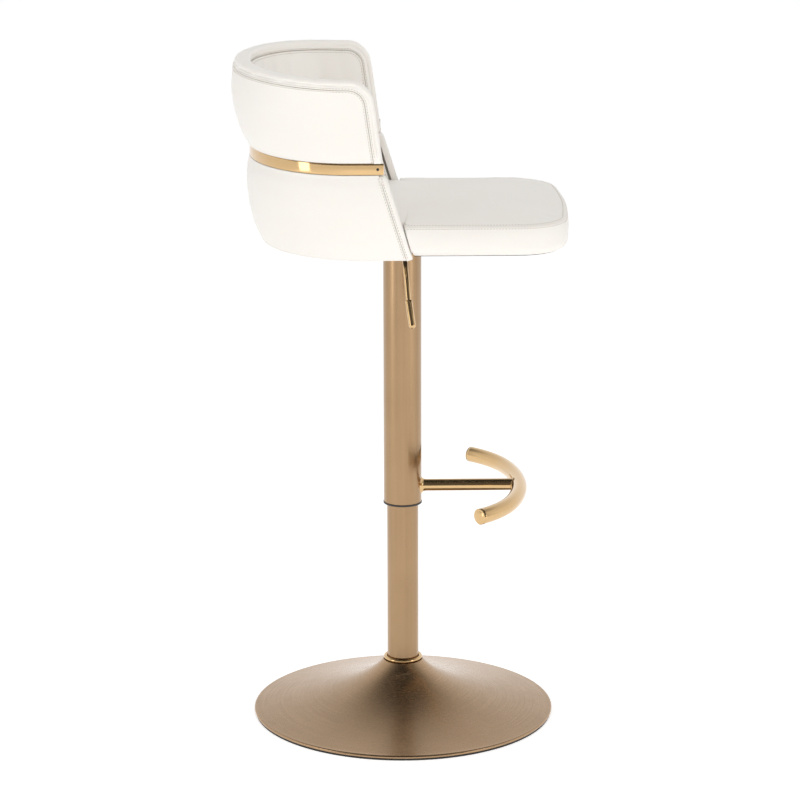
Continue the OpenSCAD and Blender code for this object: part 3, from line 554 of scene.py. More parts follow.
def sweep(name: str, path: np.ndarray, radii: np.ndarray | float, sides: int = 40,
          loop: bool = False) -> Piece:
    """A round bar along a path, closed at its ends or joined into a ring.

    Args:
        name: The piece's name.
        path: Points of the centreline.
        radii: One radius, or one for each point.
        sides: Number of steps round the bar.
        loop: Whether the path's end joins its start.

    Returns:
        The new piece.
    """
    radii = np.broadcast_to(radii, len(path))
    rings = rings_along(path, radii, sides)
    faces = weave(len(path), sides, 0, loop, True)
    if not loop:
        last = (len(path) - 1) * sides
        faces += [end_face(0, sides, True), end_face(last, sides)]
    return build(name, rings, faces)


def resample(line: np.ndarray, step: float) -> np.ndarray:
    """Points at an even step along a polyline."""
    length = np.concatenate([[0], np.cumsum(np.linalg.norm(np.diff(line, axis=0), axis=1))])
    count = max(2, round(length[-1] / step))
    at = np.linspace(0, length[-1], count + 1)
    return np.stack([np.interp(at, length, line[:, k]) for k in range(3)], 1)


class SmoothCurve:
    """A smooth curve through measured points, straight beyond its ends."""

    def __init__(self, at: np.ndarray, value: np.ndarray) -> None:
        """Keeps the points in order, with a slope at each."""
        order = np.argsort(at)
        self.at, self.value = np.asarray(at)[order], np.asarray(value)[order]
        self.slope = np.gradient(self.value, self.at)

    def __call__(self, x: float) -> float:
        """The curve's value at x."""
        if x <= self.at[0]:
            return float(self.value[0] + self.slope[0] * (x - self.at[0]))
        if x >= self.at[-1]:
            return float(self.value[-1] + self.slope[-1] * (x - self.at[-1]))
        i = int(np.searchsorted(self.at, x) - 1)
        h = self.at[i + 1] - self.at[i]
        t = (x - self.at[i]) / h
        return float((1 + 2 * t) * (1 - t) ** 2 * self.value[i]
                     + t * (1 - t) ** 2 * h * self.slope[i]
                     + t * t * (3 - 2 * t) * self.value[i + 1]
                     + t * t * (t - 1) * h * self.slope[i + 1])


# ---- Padded work ----


@dataclass
class Padding:
    """Turns a face and a back into a stuffed pad with sewn, rolled edges."""

    roll: float = 0.0011
    pressure: float = 4.0
    frames: int = 20
    cap: float = 0.0035
    seam_reach: float = 0.007
    hold_reach: float = 0.005

    def pad(self, name: str, face: np.ndarray, back: np.ndarray, fill: float) -> Piece:
        """Builds a pad from matching grids of points.

        Args:
            name: The piece's name.
            face: The side that shows, rows by columns.
            back: The hidden side, in the same order.
            fill: How tightly the pad is stuffed, from 0 to 1.

        Returns:
            The finished pad.
        """
        rows, columns = face.shape[:2]
        middle = face[rows // 2, columns // 2]
        across = face[rows // 2, columns // 2 + 1] - middle
        upward = face[rows // 2 + 1, columns // 2] - middle
        if np.dot(np.cross(across, upward), middle - back[rows // 2, columns // 2]) < 0:
            face, back = face[:, ::-1], back[:, ::-1]
        border = np.concatenate([face[0], face[1:, -1], face[-1, -2::-1], face[-2:0:-1, 0]])
        reach = self.distance(face.reshape(-1, 3), border)
        inward = back - face
        inward /= np.linalg.norm(inward, axis=2, keepdims=True)
        lift = self.roll - np.clip(reach, 0, self.roll)
        sink = self.roll - np.sqrt(np.maximum(self.roll ** 2 - lift ** 2, 0))
        sunk = face + inward * sink.reshape(rows, columns, 1)
        points = np.concatenate([sunk.reshape(-1, 3), back.reshape(-1, 3)])
        count = rows * columns
        faces = weave(rows, columns)
        faces += [tuple(reversed(f)) for f in weave(rows, columns, count)]
        edge = ([(0, c) for c in range(columns)] + [(r, columns - 1) for r in range(1, rows)]
                + [(rows - 1, c) for c in range(columns - 2, -1, -1)]
                + [(r, 0) for r in range(rows - 2, 0, -1)])
        loop = [r * columns + c for r, c in edge]
        for a, b in zip(loop, loop[1:] + loop[:1]):
            faces.append((b, a, a + count, b + count))
        piece = build(name, points, faces)
        seam = np.concatenate([np.clip(1 - reach / self.seam_reach, 0, 1), np.ones(count)])
        hold = np.concatenate([np.clip(1 - reach / self.hold_reach, 0, 1), np.ones(count)])
        return self.stuff(piece, seam, hold, fill)

    def stuff(self, piece: Piece, seam: np.ndarray, hold: np.ndarray, fill: float) -> Piece:
        """Inflates a closed cover, holds it where it is sewn, and smooths it.

        Args:
            piece: The closed cover.
            seam: Nearness of each point to a seam, from 0 to 1.
            hold: How firmly each point is held, from 0 to 1.
            fill: How tightly the pad is stuffed, from 0 to 1; not used.

        Returns:
            The same piece, one subdivision finer.
        """
        # This nearness also sets how much painted shade the leather finish puts into the seam
        # grooves.
        mark = piece.data.attributes.new("seam", "FLOAT", "POINT")
        mark.data.foreach_set("value", seam.astype(np.float32))
        self.inflate(piece, hold)
        finer = piece.modifiers.new("finer", "SUBSURF")
        finer.levels = finer.render_levels = 1
        bpy.context.view_layer.update()
        graph = bpy.context.evaluated_depsgraph_get()
        mesh = bpy.data.meshes.new_from_object(piece.evaluated_get(graph))
        piece.modifiers.clear()
        piece.data = mesh
        return piece

    def inflate(self, piece: Piece, hold: np.ndarray) -> None:
        """Runs the cloth simulation and keeps its result, capped."""
        mesh = piece.data
        rest = np.array([v.co for v in mesh.vertices], float)
        group = piece.vertex_groups.new(name="sewn")
        for index, weight in enumerate(hold):
            if weight > 0:
                group.add([index], float(weight), "REPLACE")
        cloth = piece.modifiers.new("cover", "CLOTH")
        settings = cloth.settings
        settings.quality = 6
        settings.mass = 0.25
        settings.tension_stiffness = settings.compression_stiffness = 25
        settings.shear_stiffness = 12
        settings.bending_stiffness = 4
        settings.use_pressure = True
        settings.uniform_pressure_force = self.pressure
        settings.vertex_group_mass = "sewn"
        settings.effector_weights.gravity = 0
        cloth.collision_settings.use_collision = False
        cloth.point_cache.frame_start, cloth.point_cache.frame_end = 1, self.frames
        scene = bpy.context.scene
        for number in range(1, self.frames + 1):
            scene.frame_set(number)
        graph = bpy.context.evaluated_depsgraph_get()
        swollen = piece.evaluated_get(graph)
        moved = np.array([v.co for v in swollen.data.vertices], float) - rest
        length = np.linalg.norm(moved, axis=1, keepdims=True)
        moved *= np.minimum(1, self.cap / np.maximum(length, 1e-9))
        piece.modifiers.clear()
        piece.vertex_groups.clear()
        scene.frame_set(1)
        mesh.vertices.foreach_set("co", (rest + moved).astype(np.float32).ravel())
        mesh.update()
        log.info("  %s swelled by up to %.1f mm", piece.name,
                 1000 * float(np.linalg.norm(moved, axis=1).max()))

    @staticmethod
    def distance(points: np.ndarray, line: np.ndarray) -> np.ndarray:
        """Distance from each point to a closed polyline."""
        start, end = line, np.roll(line, -1, axis=0)
        run = end - start
        size = np.maximum((run ** 2).sum(1), 1e-12)
        nearest = np.full(len(points), 1e9)
        for a, d, s in zip(start, run, size):
            t = np.clip(((points - a) @ d) / s, 0, 1)
            gap = np.linalg.norm(points - a - t[:, None] * d, axis=1)
            nearest = np.minimum(nearest, gap)
        return nearest


@dataclass
class Stitching:
    """Rows of lockstitches laid on a finished surface."""

    pitch: float = 0.0046
    stitch: float = 0.0034
    thread: float = 0.00042
    sides: int = 6

    def sew(self, name: str, surfaces: list[Piece], rows: list[np.ndarray],
            book: FinishBook) -> Piece:
        """Lays stitches along guide lines, each on the nearest surface.

        Args:
            name: The piece's name.
            surfaces: The pads that are sewn.
            rows: Guide lines near those surfaces.
            book: The finishes.

        Returns:
            One piece that holds every stitch.
        """
        points, faces = [], []
        trees = [BVHTree.FromPolygons([v.co for v in s.data.vertices],
                                      [p.vertices for p in s.data.polygons])
                 for s in surfaces]
        for row in rows:
            line = resample(row, self.pitch)
            for a, b in zip(line[:-1], line[1:]):
                self.one(self.settle((a + b) / 2, trees), b - a, points, faces)
        piece = build(name, np.array(points), faces)
        piece.data.materials.append(book.thread)
        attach(piece, "seat")
        return piece

    @staticmethod
    def settle(point: np.ndarray, trees: list[BVHTree]) -> tuple[Vector, Vector]:
        """The nearest place on the surfaces and its normal."""
        found = [tree.find_nearest(Vector(point)) for tree in trees]
        hit = min((f for f in found if f[0]), key=lambda f: f[3])
        return hit[0], hit[1]

    def one(self, seat: tuple[Vector, Vector], run: np.ndarray, points: list,
            faces: list) -> None:
        """Adds one stitch, a short bowed bar sunk into the surface at its ends.

        Args:
            seat: Its place and the surface's normal.
            run: Its direction.
            points: The list that its vertices join.
            faces: The list that its faces join.
        """
        centre, normal = seat
        along = Vector(run) - normal * Vector(run).dot(normal)
        along.normalize()
        side = normal.cross(along)
        start = len(points)
        stations = ((-0.5, -0.9, 0.55), (-0.3, 0.0, 0.95), (0.0, 0.35, 1.0), (0.3, 0.0, 0.95),
                    (0.5, -0.9, 0.55))
        for at, high, thick in stations:
            middle = centre + along * at * self.stitch + normal * high * self.thread
            points += circle(middle, side, normal, self.thread * thick, self.sides)
        faces += weave(len(stations), self.sides, start, False, True)
        last = start + (len(stations) - 1) * self.sides
        faces += [end_face(start, self.sides, True), end_face(last, self.sides)]


@dataclass
class BackForm:
    """The shape that every piece of the wrap-around back follows."""

    near_gap: float = 0.0001
    rim_rise: float = 0.007
    strip_h: float = 0.014
    back_t: float = 0.025
    core_t: float = 0.008
    inside_depth: float = 0.012
    core_gap: float = 0.0002
    band_gap: float = 0.0005
    corner_r: float = 0.040
    wing_rake: float = 0.143
    shell_rake: float = 0.31
    shell_foot: float = -0.011
    shell_strip_h: float = 0.010
    shell_corner_r: float = 0.014
    lean_side: float = 0.035
    lean_rear: float = 0.152
    bend_low: float = 0.060
    bend_high: float = 0.100
    edge_lanes: tuple[float, ...] = (0.0, 0.0005, 0.0013, 0.0026, 0.0045, 0.0075)
    side_lanes: int = 7
    arc_lanes: int = 96

    def __post_init__(self) -> None:
        """Measures the frame."""
        band_low, band_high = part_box("trim_band")
        self.seat_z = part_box("seat_board")[0].z
        self.band_z0, self.band_z1 = band_low.z, band_high.z
        self.waist = (self.band_z0 + self.band_z1) / 2
        self.band_side, self.band_rear = band_high.x - 0.0003, band_high.y - 0.0003
        self.rim_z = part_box("rim_strip")[1].z - self.rim_rise
        self.seam_z = self.rim_z - self.strip_h
        self.low_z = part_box("lower_pad")[0].z
        self.pad_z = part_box("inner_pad")[0].z
        self.wing_foot = band_low.y + 0.001
        self.tilt = math.atan(self.wing_rake)
        self.corner_z = self.rim_z - self.corner_r
        self.corner_y = (self.wing_foot + self.wing_rake * (self.corner_z - self.band_z1)
                         + self.corner_r / math.cos(self.tilt))
        lower, upper = self.outline("lower_pad"), self.outline("upper_pad")
        share = self.rim_rise / (self.seam_z - self.band_z1)
        level = [(z + self.band_z1 * share) / (1 + share) for z in upper[1][0]]
        self.side = SmoothCurve(*self.joined(lower[0], upper[0]))
        self.rear = SmoothCurve(*self.joined(lower[1], (level, upper[1][1])))

    @staticmethod
    def joined(first: tuple, second: tuple) -> tuple[np.ndarray, np.ndarray]:
        """Two measured outlines as one."""
        return (np.concatenate([first[0], second[0]]), np.concatenate([first[1], second[1]]))

    @staticmethod
    def outline(node: str) -> tuple[tuple, tuple]:
        """Heights and outermost reach of a pad.

        Args:
            node: The CAD node to measure.

        Returns:
            Heights and half widths at its front, then heights and reach at its rear.
        """
        co = np.array([v.co for v in frame["nodes"][node].data.vertices])
        front = co[co[:, 1] < 0.055]
        rear = co[(np.abs(co[:, 0]) < 0.0005) & (co[:, 1] > 0)]
        found = []
        for points, axis in ((np.abs(front), 0), (rear, 1)):
            levels = np.round(points[:, 2], 4)
            heights = np.unique(levels)
            found.append((heights, np.array([points[levels == z, axis].max()
                                             for z in heights])))
        return found[0], found[1]

    def bend(self, z: float) -> float:
        """Where the straight sides end and the round rear starts."""
        share = min(max((z - self.low_z) / (self.rim_z - self.low_z), 0), 1)
        return self.bend_low + (self.bend_high - self.bend_low) * share

    def core(self, z: float) -> tuple[float, float]:
        """Half width and rear reach of the plywood back's outside at a height."""
        rise = z - self.band_z1
        return (self.band_side - 0.0021 + self.lean_side * rise,
                self.band_rear - 0.0021 + self.lean_rear * rise)

    def outside(self, z: float) -> tuple[float, float]:
        """Half width and rear reach of the leather's outside at a height."""
        return self.side(z), self.rear(z)

    def inside(self, z: float) -> tuple[float, float]:
        """Half width and rear reach of the inner leather's face at a height."""
        half_width, rear = self.core(z)
        depth = self.core_t + self.inside_depth
        return half_width - depth, rear - depth

    def rise(self, z: float) -> float:
        """How much higher a level lies at the rear than at its front ends."""
        share = (z - self.band_z1) / (self.seam_z - self.band_z1)
        return self.rim_rise * min(max(share, 0), 1.3)

    def wing_edge(self, z: float, inset: float) -> float:
        """The wing's front edge, or a line that far inside it, at a height.

        Args:
            z: The height.
            inset: Distance behind the edge.

        Returns:
            The line's place along Y.
        """
        radius = self.corner_r - inset
        if z <= self.corner_z + radius * math.sin(self.tilt):
            return (self.wing_foot + self.wing_rake * (z - self.band_z1)
                    + inset / math.cos(self.tilt))
        return self.corner_y - math.sqrt(max(0, radius ** 2 - (z - self.corner_z) ** 2))

    def shell_edge(self, z: float, inset: float = 0.0) -> float:
        """The lower shell's front edge at a height, or a line inside it."""
        return (self.shell_foot + self.shell_rake * (z - self.seat_z)
                + inset / math.cos(math.atan(self.shell_rake)))

    def back_edge(self, z: float) -> float:
        """The front edge of the padded field of the back at a height."""
        wing = self.wing_edge(z, self.strip_h + self.near_gap)
        if z >= self.band_z0:
            return wing
        return min(self.shell_edge(z), self.wing_edge(self.band_z0, 0)) + self.strip_h

    def level(self, z: float, size: tuple[float, float], front: float, rise: float,
              inset: float = 0.0) -> np.ndarray:
        """One line of points around the back, from the left front end to the right.

        Args:
            z: Height of its front ends.
            size: Half width and rear reach.
            front: Place of its front ends along Y.
            rise: How much higher it lies at the rear.
            inset: Distance inside that size.

        Returns:
            The points.
        """
        a, rear, bend = size[0] - inset, size[1] - inset, self.bend(z)
        lanes = front + np.array(self.edge_lanes)
        lanes = np.concatenate([lanes, np.linspace(lanes[-1], bend, self.side_lanes + 1)[1:-1]])
        t = np.linspace(0, math.pi, self.arc_lanes + 1)
        arc = np.stack([-a * np.cos(t), bend + (rear - bend) * np.sin(t),
                        z + rise * np.sin(t)], 1)
        left = np.stack([np.full(len(lanes), -a), lanes, np.full(len(lanes), z)], 1)
        return np.concatenate([left, arc, left[::-1] * (-1, 1, 1)])

    def rows(self, low: float, high: float, step: float, corner: bool) -> list[float]:
        """Heights of a pad's mesh lines, closer together at its sewn edges.

        Args:
            low: Height of the lower seam.
            high: Height of the upper seam.
            step: Spacing in the field.
            corner: Whether the lines also follow the wing's round corner.

        Returns:
            The heights in order.
        """
        lanes = [low + e for e in self.edge_lanes] + [high - e for e in self.edge_lanes]
        inner_low, inner_high = low + self.edge_lanes[-1], high - self.edge_lanes[-1]
        if corner:
            radius = high - self.corner_z
            turned = [self.corner_z + radius * math.sin(math.radians(t))
                      for t in (8, 18, 28, 38, 48)]
            lanes += [z for z in turned if z < inner_high - 0.001]
            inner_high = turned[0]
        count = max(2, round((inner_high - inner_low) / step))
        lanes += [inner_low + (inner_high - inner_low) * k / count for k in range(1, count)]
        return sorted(lanes)


@dataclass
class BackPanels:
    """The leather panels of the wrap-around back, with their edge strips."""

    form: BackForm
    book: FinishBook
    padding: Padding = field(default_factory=Padding)
    stitching: Stitching = field(default_factory=Stitching)
    row_step: float = 0.008
    seam_offset: float = 0.0026
    band_inside: float = 0.0023
    band_ease: float = 0.004
    hem: float = 0.004
    hem_h: float = 0.014
    skin_min: float = 0.003
    station_step: float = 0.007

    def wrap(self, name: str, rows: list[float], shape: str, fill: float) -> Piece:
        """Builds one padded field that wraps around the sitter.

        Args:
            name: The piece's name, which is its CAD node's with "leather" added.
            rows: Heights of the mesh lines.
            shape: "lower", "upper" or "inner".
            fill: How tightly it is stuffed.

        Returns:
            The finished pad.
        """
        f = self.form
        face, back = [], []
        for z in rows:
            if shape == "lower":
                front = f.shell_edge(z, f.shell_strip_h + f.near_gap)
                depth = self.hem if z < f.seat_z + self.hem_h else 0.0
                size = f.outside(z)
                under = tuple(o - depth for o in size) if depth else self.over_core(z)
                rise = 0.0
            elif shape == "upper":
                front, size, rise = f.back_edge(z), f.outside(z), f.rise(z)
                under = self.over_core(z)
            else:
                front, rise = f.back_edge(z), f.rise(z)
                size = f.inside(z)
                under = tuple(c - f.core_t - f.near_gap / 2 for c in f.core(z))
            face.append(f.level(z, size, front, rise))
            back.append(f.level(z, under, front, rise))
        face, back = np.array(face), np.array(back)
        return self.padding.pad(name, face, back, fill)

    def over_core(self, z: float) -> tuple[float, float]:
        """Half width and rear reach of an outer pad's hidden side at a height."""
        f = self.form
        return tuple(min(c + f.core_gap, o - self.skin_min)
                     for c, o in zip(f.core(z), f.outside(z)))

    def section(self) -> list[tuple[float, float]]:
        """The edge strip's rounded section: depth from the outside, distance from the rim."""
        radius, wide, tall = 0.0070, self.form.back_t, self.form.strip_h
        lanes = [tall - e for e in self.form.edge_lanes] + [radius]
        outer = [(0.0, h) for h in lanes]
        outer += [(radius - radius * math.cos(t), radius - radius * math.sin(t))
                  for t in np.radians((15, 30, 45, 60, 75, 90))]
        middle = [(wide / 2, 0.0)]
        return outer + middle + [(wide - d, h) for d, h in reversed(outer)]

    def stations(self, foot: tuple[float, float], rake: float, base_z: float,
                 z_from: float, corner: tuple[float, float, float]) -> list[tuple]:
        """Places along a front edge that ends in a round corner.

        Args:
            foot: Where the edge's line starts, along Y and Z.
            rake: How far the edge leans back for each metre up.
            base_z: Height that the line's start belongs to.
            z_from: Height of the first place.
            corner: The corner's centre along Y and Z, and its radius.

        Returns:
            For each place, its Y and Z and the outward direction's Y and Z.
        """
        tilt = math.atan(rake)
        centre_y, centre_z, radius = corner
        top = centre_z + radius * math.sin(tilt)
        lanes = [z_from + e for e in self.form.edge_lanes]
        count = max(2, round((top - lanes[-1]) / self.station_step))
        lanes += [lanes[-1] + (top - lanes[-1]) * k / count for k in range(1, count + 1)]
        places = [(foot[0] + rake * (z - base_z), z, -math.cos(tilt), math.sin(tilt))
                  for z in lanes]
        turns = max(4, round(radius * (math.pi / 2 - tilt) / (self.station_step * 0.6)))
        for k in range(1, turns + 1):
            t = tilt + (math.pi / 2 - tilt) * k / turns
            places.append((centre_y - radius * math.cos(t), centre_z + radius * math.sin(t),
                           -math.cos(t), math.sin(t)))
        return places

    def wing_point(self, place: tuple, side: int, d: float, h: float,
                   cover: float = 0.0) -> tuple[float, float, float]:
        """A point of a strip on a front edge.

        Args:
            place: The station.
            side: -1 on the left, 1 on the right.
            d: Depth from the outside.
            h: Distance from the edge.
            cover: Least depth there, where the trim band lies over the strip.

        Returns:
            The point.
        """
        y, z = place[0] - h * place[2], place[1] - h * place[3]
        return side * (self.form.side(z) - max(d, cover)), y, z

    def rim_lines(self, section: list[tuple[float, float]]) -> np.ndarray:
        """Points of the rim strip, station by station, from the left foot to the right."""
        f = self.form
        corner = (f.corner_y, f.corner_z, f.corner_r)
        places = self.stations((f.wing_foot, 0), f.wing_rake, f.band_z1, f.band_z0, corner)

        def covered(place: tuple, h: float) -> float:
            """Least depth under the trim band, easing out above it."""
            deep = f.side(place[1] - h * place[3]) - f.band_side + self.band_inside
            return deep * min(max((f.band_z1 + self.band_ease - place[1]) / 0.003, 0), 1)

        left = [[self.wing_point(p, -1, d, h, covered(p, h)) for d, h in section]
                for p in places]
        gap = f.bend(f.rim_z) - f.corner_y
        for k in range(1, 3):
            shift = gap * k / 3
            left.append([(x, y + shift, z) for x, y, z in left[len(places) - 1]])
        arc = []
        for t in np.linspace(0, math.pi, f.arc_lanes + 1):
            row = []
            for d, h in section:
                z = f.rim_z - h
                a, rear = f.side(z) - d, f.rear(z) - d
                bend = f.bend(z)
                row.append((-a * math.cos(t), bend + (rear - bend) * math.sin(t),
                            z + f.rim_rise * math.sin(t)))
            arc.append(row)
        right = [[(-x, y, z) for x, y, z in row] for row in reversed(left)]
        return np.array(left + arc + right)

    def rim(self) -> Piece:
        """The strip over the rim and down both front edges."""
        section = self.section()
        half, tall = self.form.back_t / 2, self.form.strip_h
        inner = [(half + (d - half) * 0.55, tall - (tall - h) * 0.45) for d, h in section]
        face, back = self.rim_lines(section), self.rim_lines(inner)
        piece = self.padding.pad("rim_strip_leather", face, back, 0.9)
        return self.own(piece, "rim_strip")

    def lower_strips(self) -> list[Piece]:
        """The strips down the lower shell's two front edges, the left one first."""
        f = self.form
        wide, tall, radius = f.back_t - 0.002, f.shell_strip_h, 0.0045
        outer = [(0.0, tall - e) for e in f.edge_lanes[:-1]]
        outer += [(radius - radius * math.cos(t), radius - radius * math.sin(t))
                  for t in np.radians((0, 22, 45, 67, 90))]
        section = outer + [(wide / 2, 0.0)] + [(wide - d, h) for d, h in reversed(outer)]
        half = wide / 2
        inner = [(half + (d - half) * 0.6, tall - (tall - h) * 0.5) for d, h in section]
        tilt = math.atan(f.shell_rake)
        top = f.band_z0 - f.band_gap
        centre_z = top - f.shell_corner_r
        centre_y = f.shell_edge(centre_z) + f.shell_corner_r / math.cos(tilt)
        places = self.stations((f.shell_foot, 0), f.shell_rake, f.seat_z, f.low_z + 0.002,
                               (centre_y, centre_z, f.shell_corner_r))
        sides = []
        for side in (-1, 1):
            grids = [np.array([[self.wing_point(p, side, d * self.squeeze(p, h, wide), h)
                                for d, h in lines] for p in places])
                     for lines in (section, inner)]
            name = "lower_strip_leather" + ("_left" if side < 0 else "_right")
            sides.append(self.padding.pad(name, grids[0], grids[1], 0.9))
        return [self.own(strip, "lower_strip") for strip in sides]

    def squeeze(self, place: tuple, h: float, wide: float) -> float:
        """How much of its width a lower strip keeps, to end at the inner leather's face."""
        z = place[1] - h * place[3]
        return min(1, (self.form.side(z) - self.form.inside(z)[0]) / wide)

    def own(self, piece: Piece, *nodes: str) -> Piece:
        """Dresses a leather piece, sets it on the seat and hides the nodes that it stands in for."""
        return self.book.fit(piece, Slot.LEATHER, "seat", *nodes)

    def field_line(self, z: float, shape: str, front: float) -> np.ndarray:
        """A level guide line on a field, for stitches.

        Args:
            z: Its height.
            shape: "lower", "upper" or "inner".
            front: Place of its ends along Y.

        Returns:
            The guide line.
        """
        f = self.form
        size = f.inside(z) if shape == "inner" else f.outside(z)
        return f.level(z, size, front, 0.0 if shape == "lower" else f.rise(z))

    def sew(self, pads: list[Piece]) -> Piece:
        """Stitches beside every seam of the back, on its pads and strips."""
        f, s = self.form, self.seam_offset
        rows = []
        top = f.seam_z - s
        inset = f.strip_h + f.near_gap + s
        for shape in ("upper", "inner"):
            low = f.band_z1 if shape == "upper" else f.pad_z + 0.02
            rows.append(self.field_line(top, shape, f.corner_y))
            sizes = f.outside if shape == "upper" else f.inside
            heights = np.concatenate([np.linspace(low, f.corner_z, 24), f.corner_z
                                      + (f.corner_r - inset) * np.sin(np.linspace(0.05, 1.57, 16))])
            for side in (-1, 1):
                rows.append(np.array([(side * sizes(z)[0], self.edge_at(z, inset), z)
                                      for z in heights]))
        for d in (0.0, f.back_t):
            line = self.rim_lines([(d, f.strip_h - s), (d, f.strip_h - s - 0.001)])[:, 0]
            rows.append(line[line[:, 2] > f.band_z1 + (self.band_ease if d == 0 else -0.05)])
        inset = f.shell_strip_h + f.near_gap + s
        for shift in (inset, f.shell_strip_h - s):
            heights = np.linspace(f.low_z + 0.004, f.band_z0 - 0.004, 30)
            for side in (-1, 1):
                rows.append(np.array([(side * f.side(z), f.shell_edge(z, shift), z)
                                      for z in heights]))
        return self.stitching.sew("back_stitches", pads, rows, self.book)

    def edge_at(self, z: float, inset: float) -> float:
        """The wing's front line at an inset, carried straight down below the band."""
        if z > self.form.band_z0:
            return self.form.wing_edge(z, inset)
        return self.form.back_edge(z) + self.seam_offset

    def make(self) -> None:
        """Builds, dresses and sews every panel of the back."""
        f = self.form
        low = self.wrap("lower_back_leather",
                        f.rows(f.low_z, f.band_z0 - f.band_gap, self.row_step, False), "lower", 0.85)
        up = self.wrap("upper_back_leather",
                       f.rows(f.band_z1 + f.band_gap, f.seam_z - f.near_gap, self.row_step, True),
                       "upper", 0.9)
        inside = self.wrap("inner_back_leather",
                           f.rows(f.pad_z, f.seam_z - f.near_gap, self.row_step, True),
                           "inner", 0.85)
        self.own(low, "lower_pad")
        self.own(up, "upper_pad")
        self.own(inside, "inner_pad")
        rim = self.rim()
        self.sew([low, up, inside, rim, *self.lower_strips()])


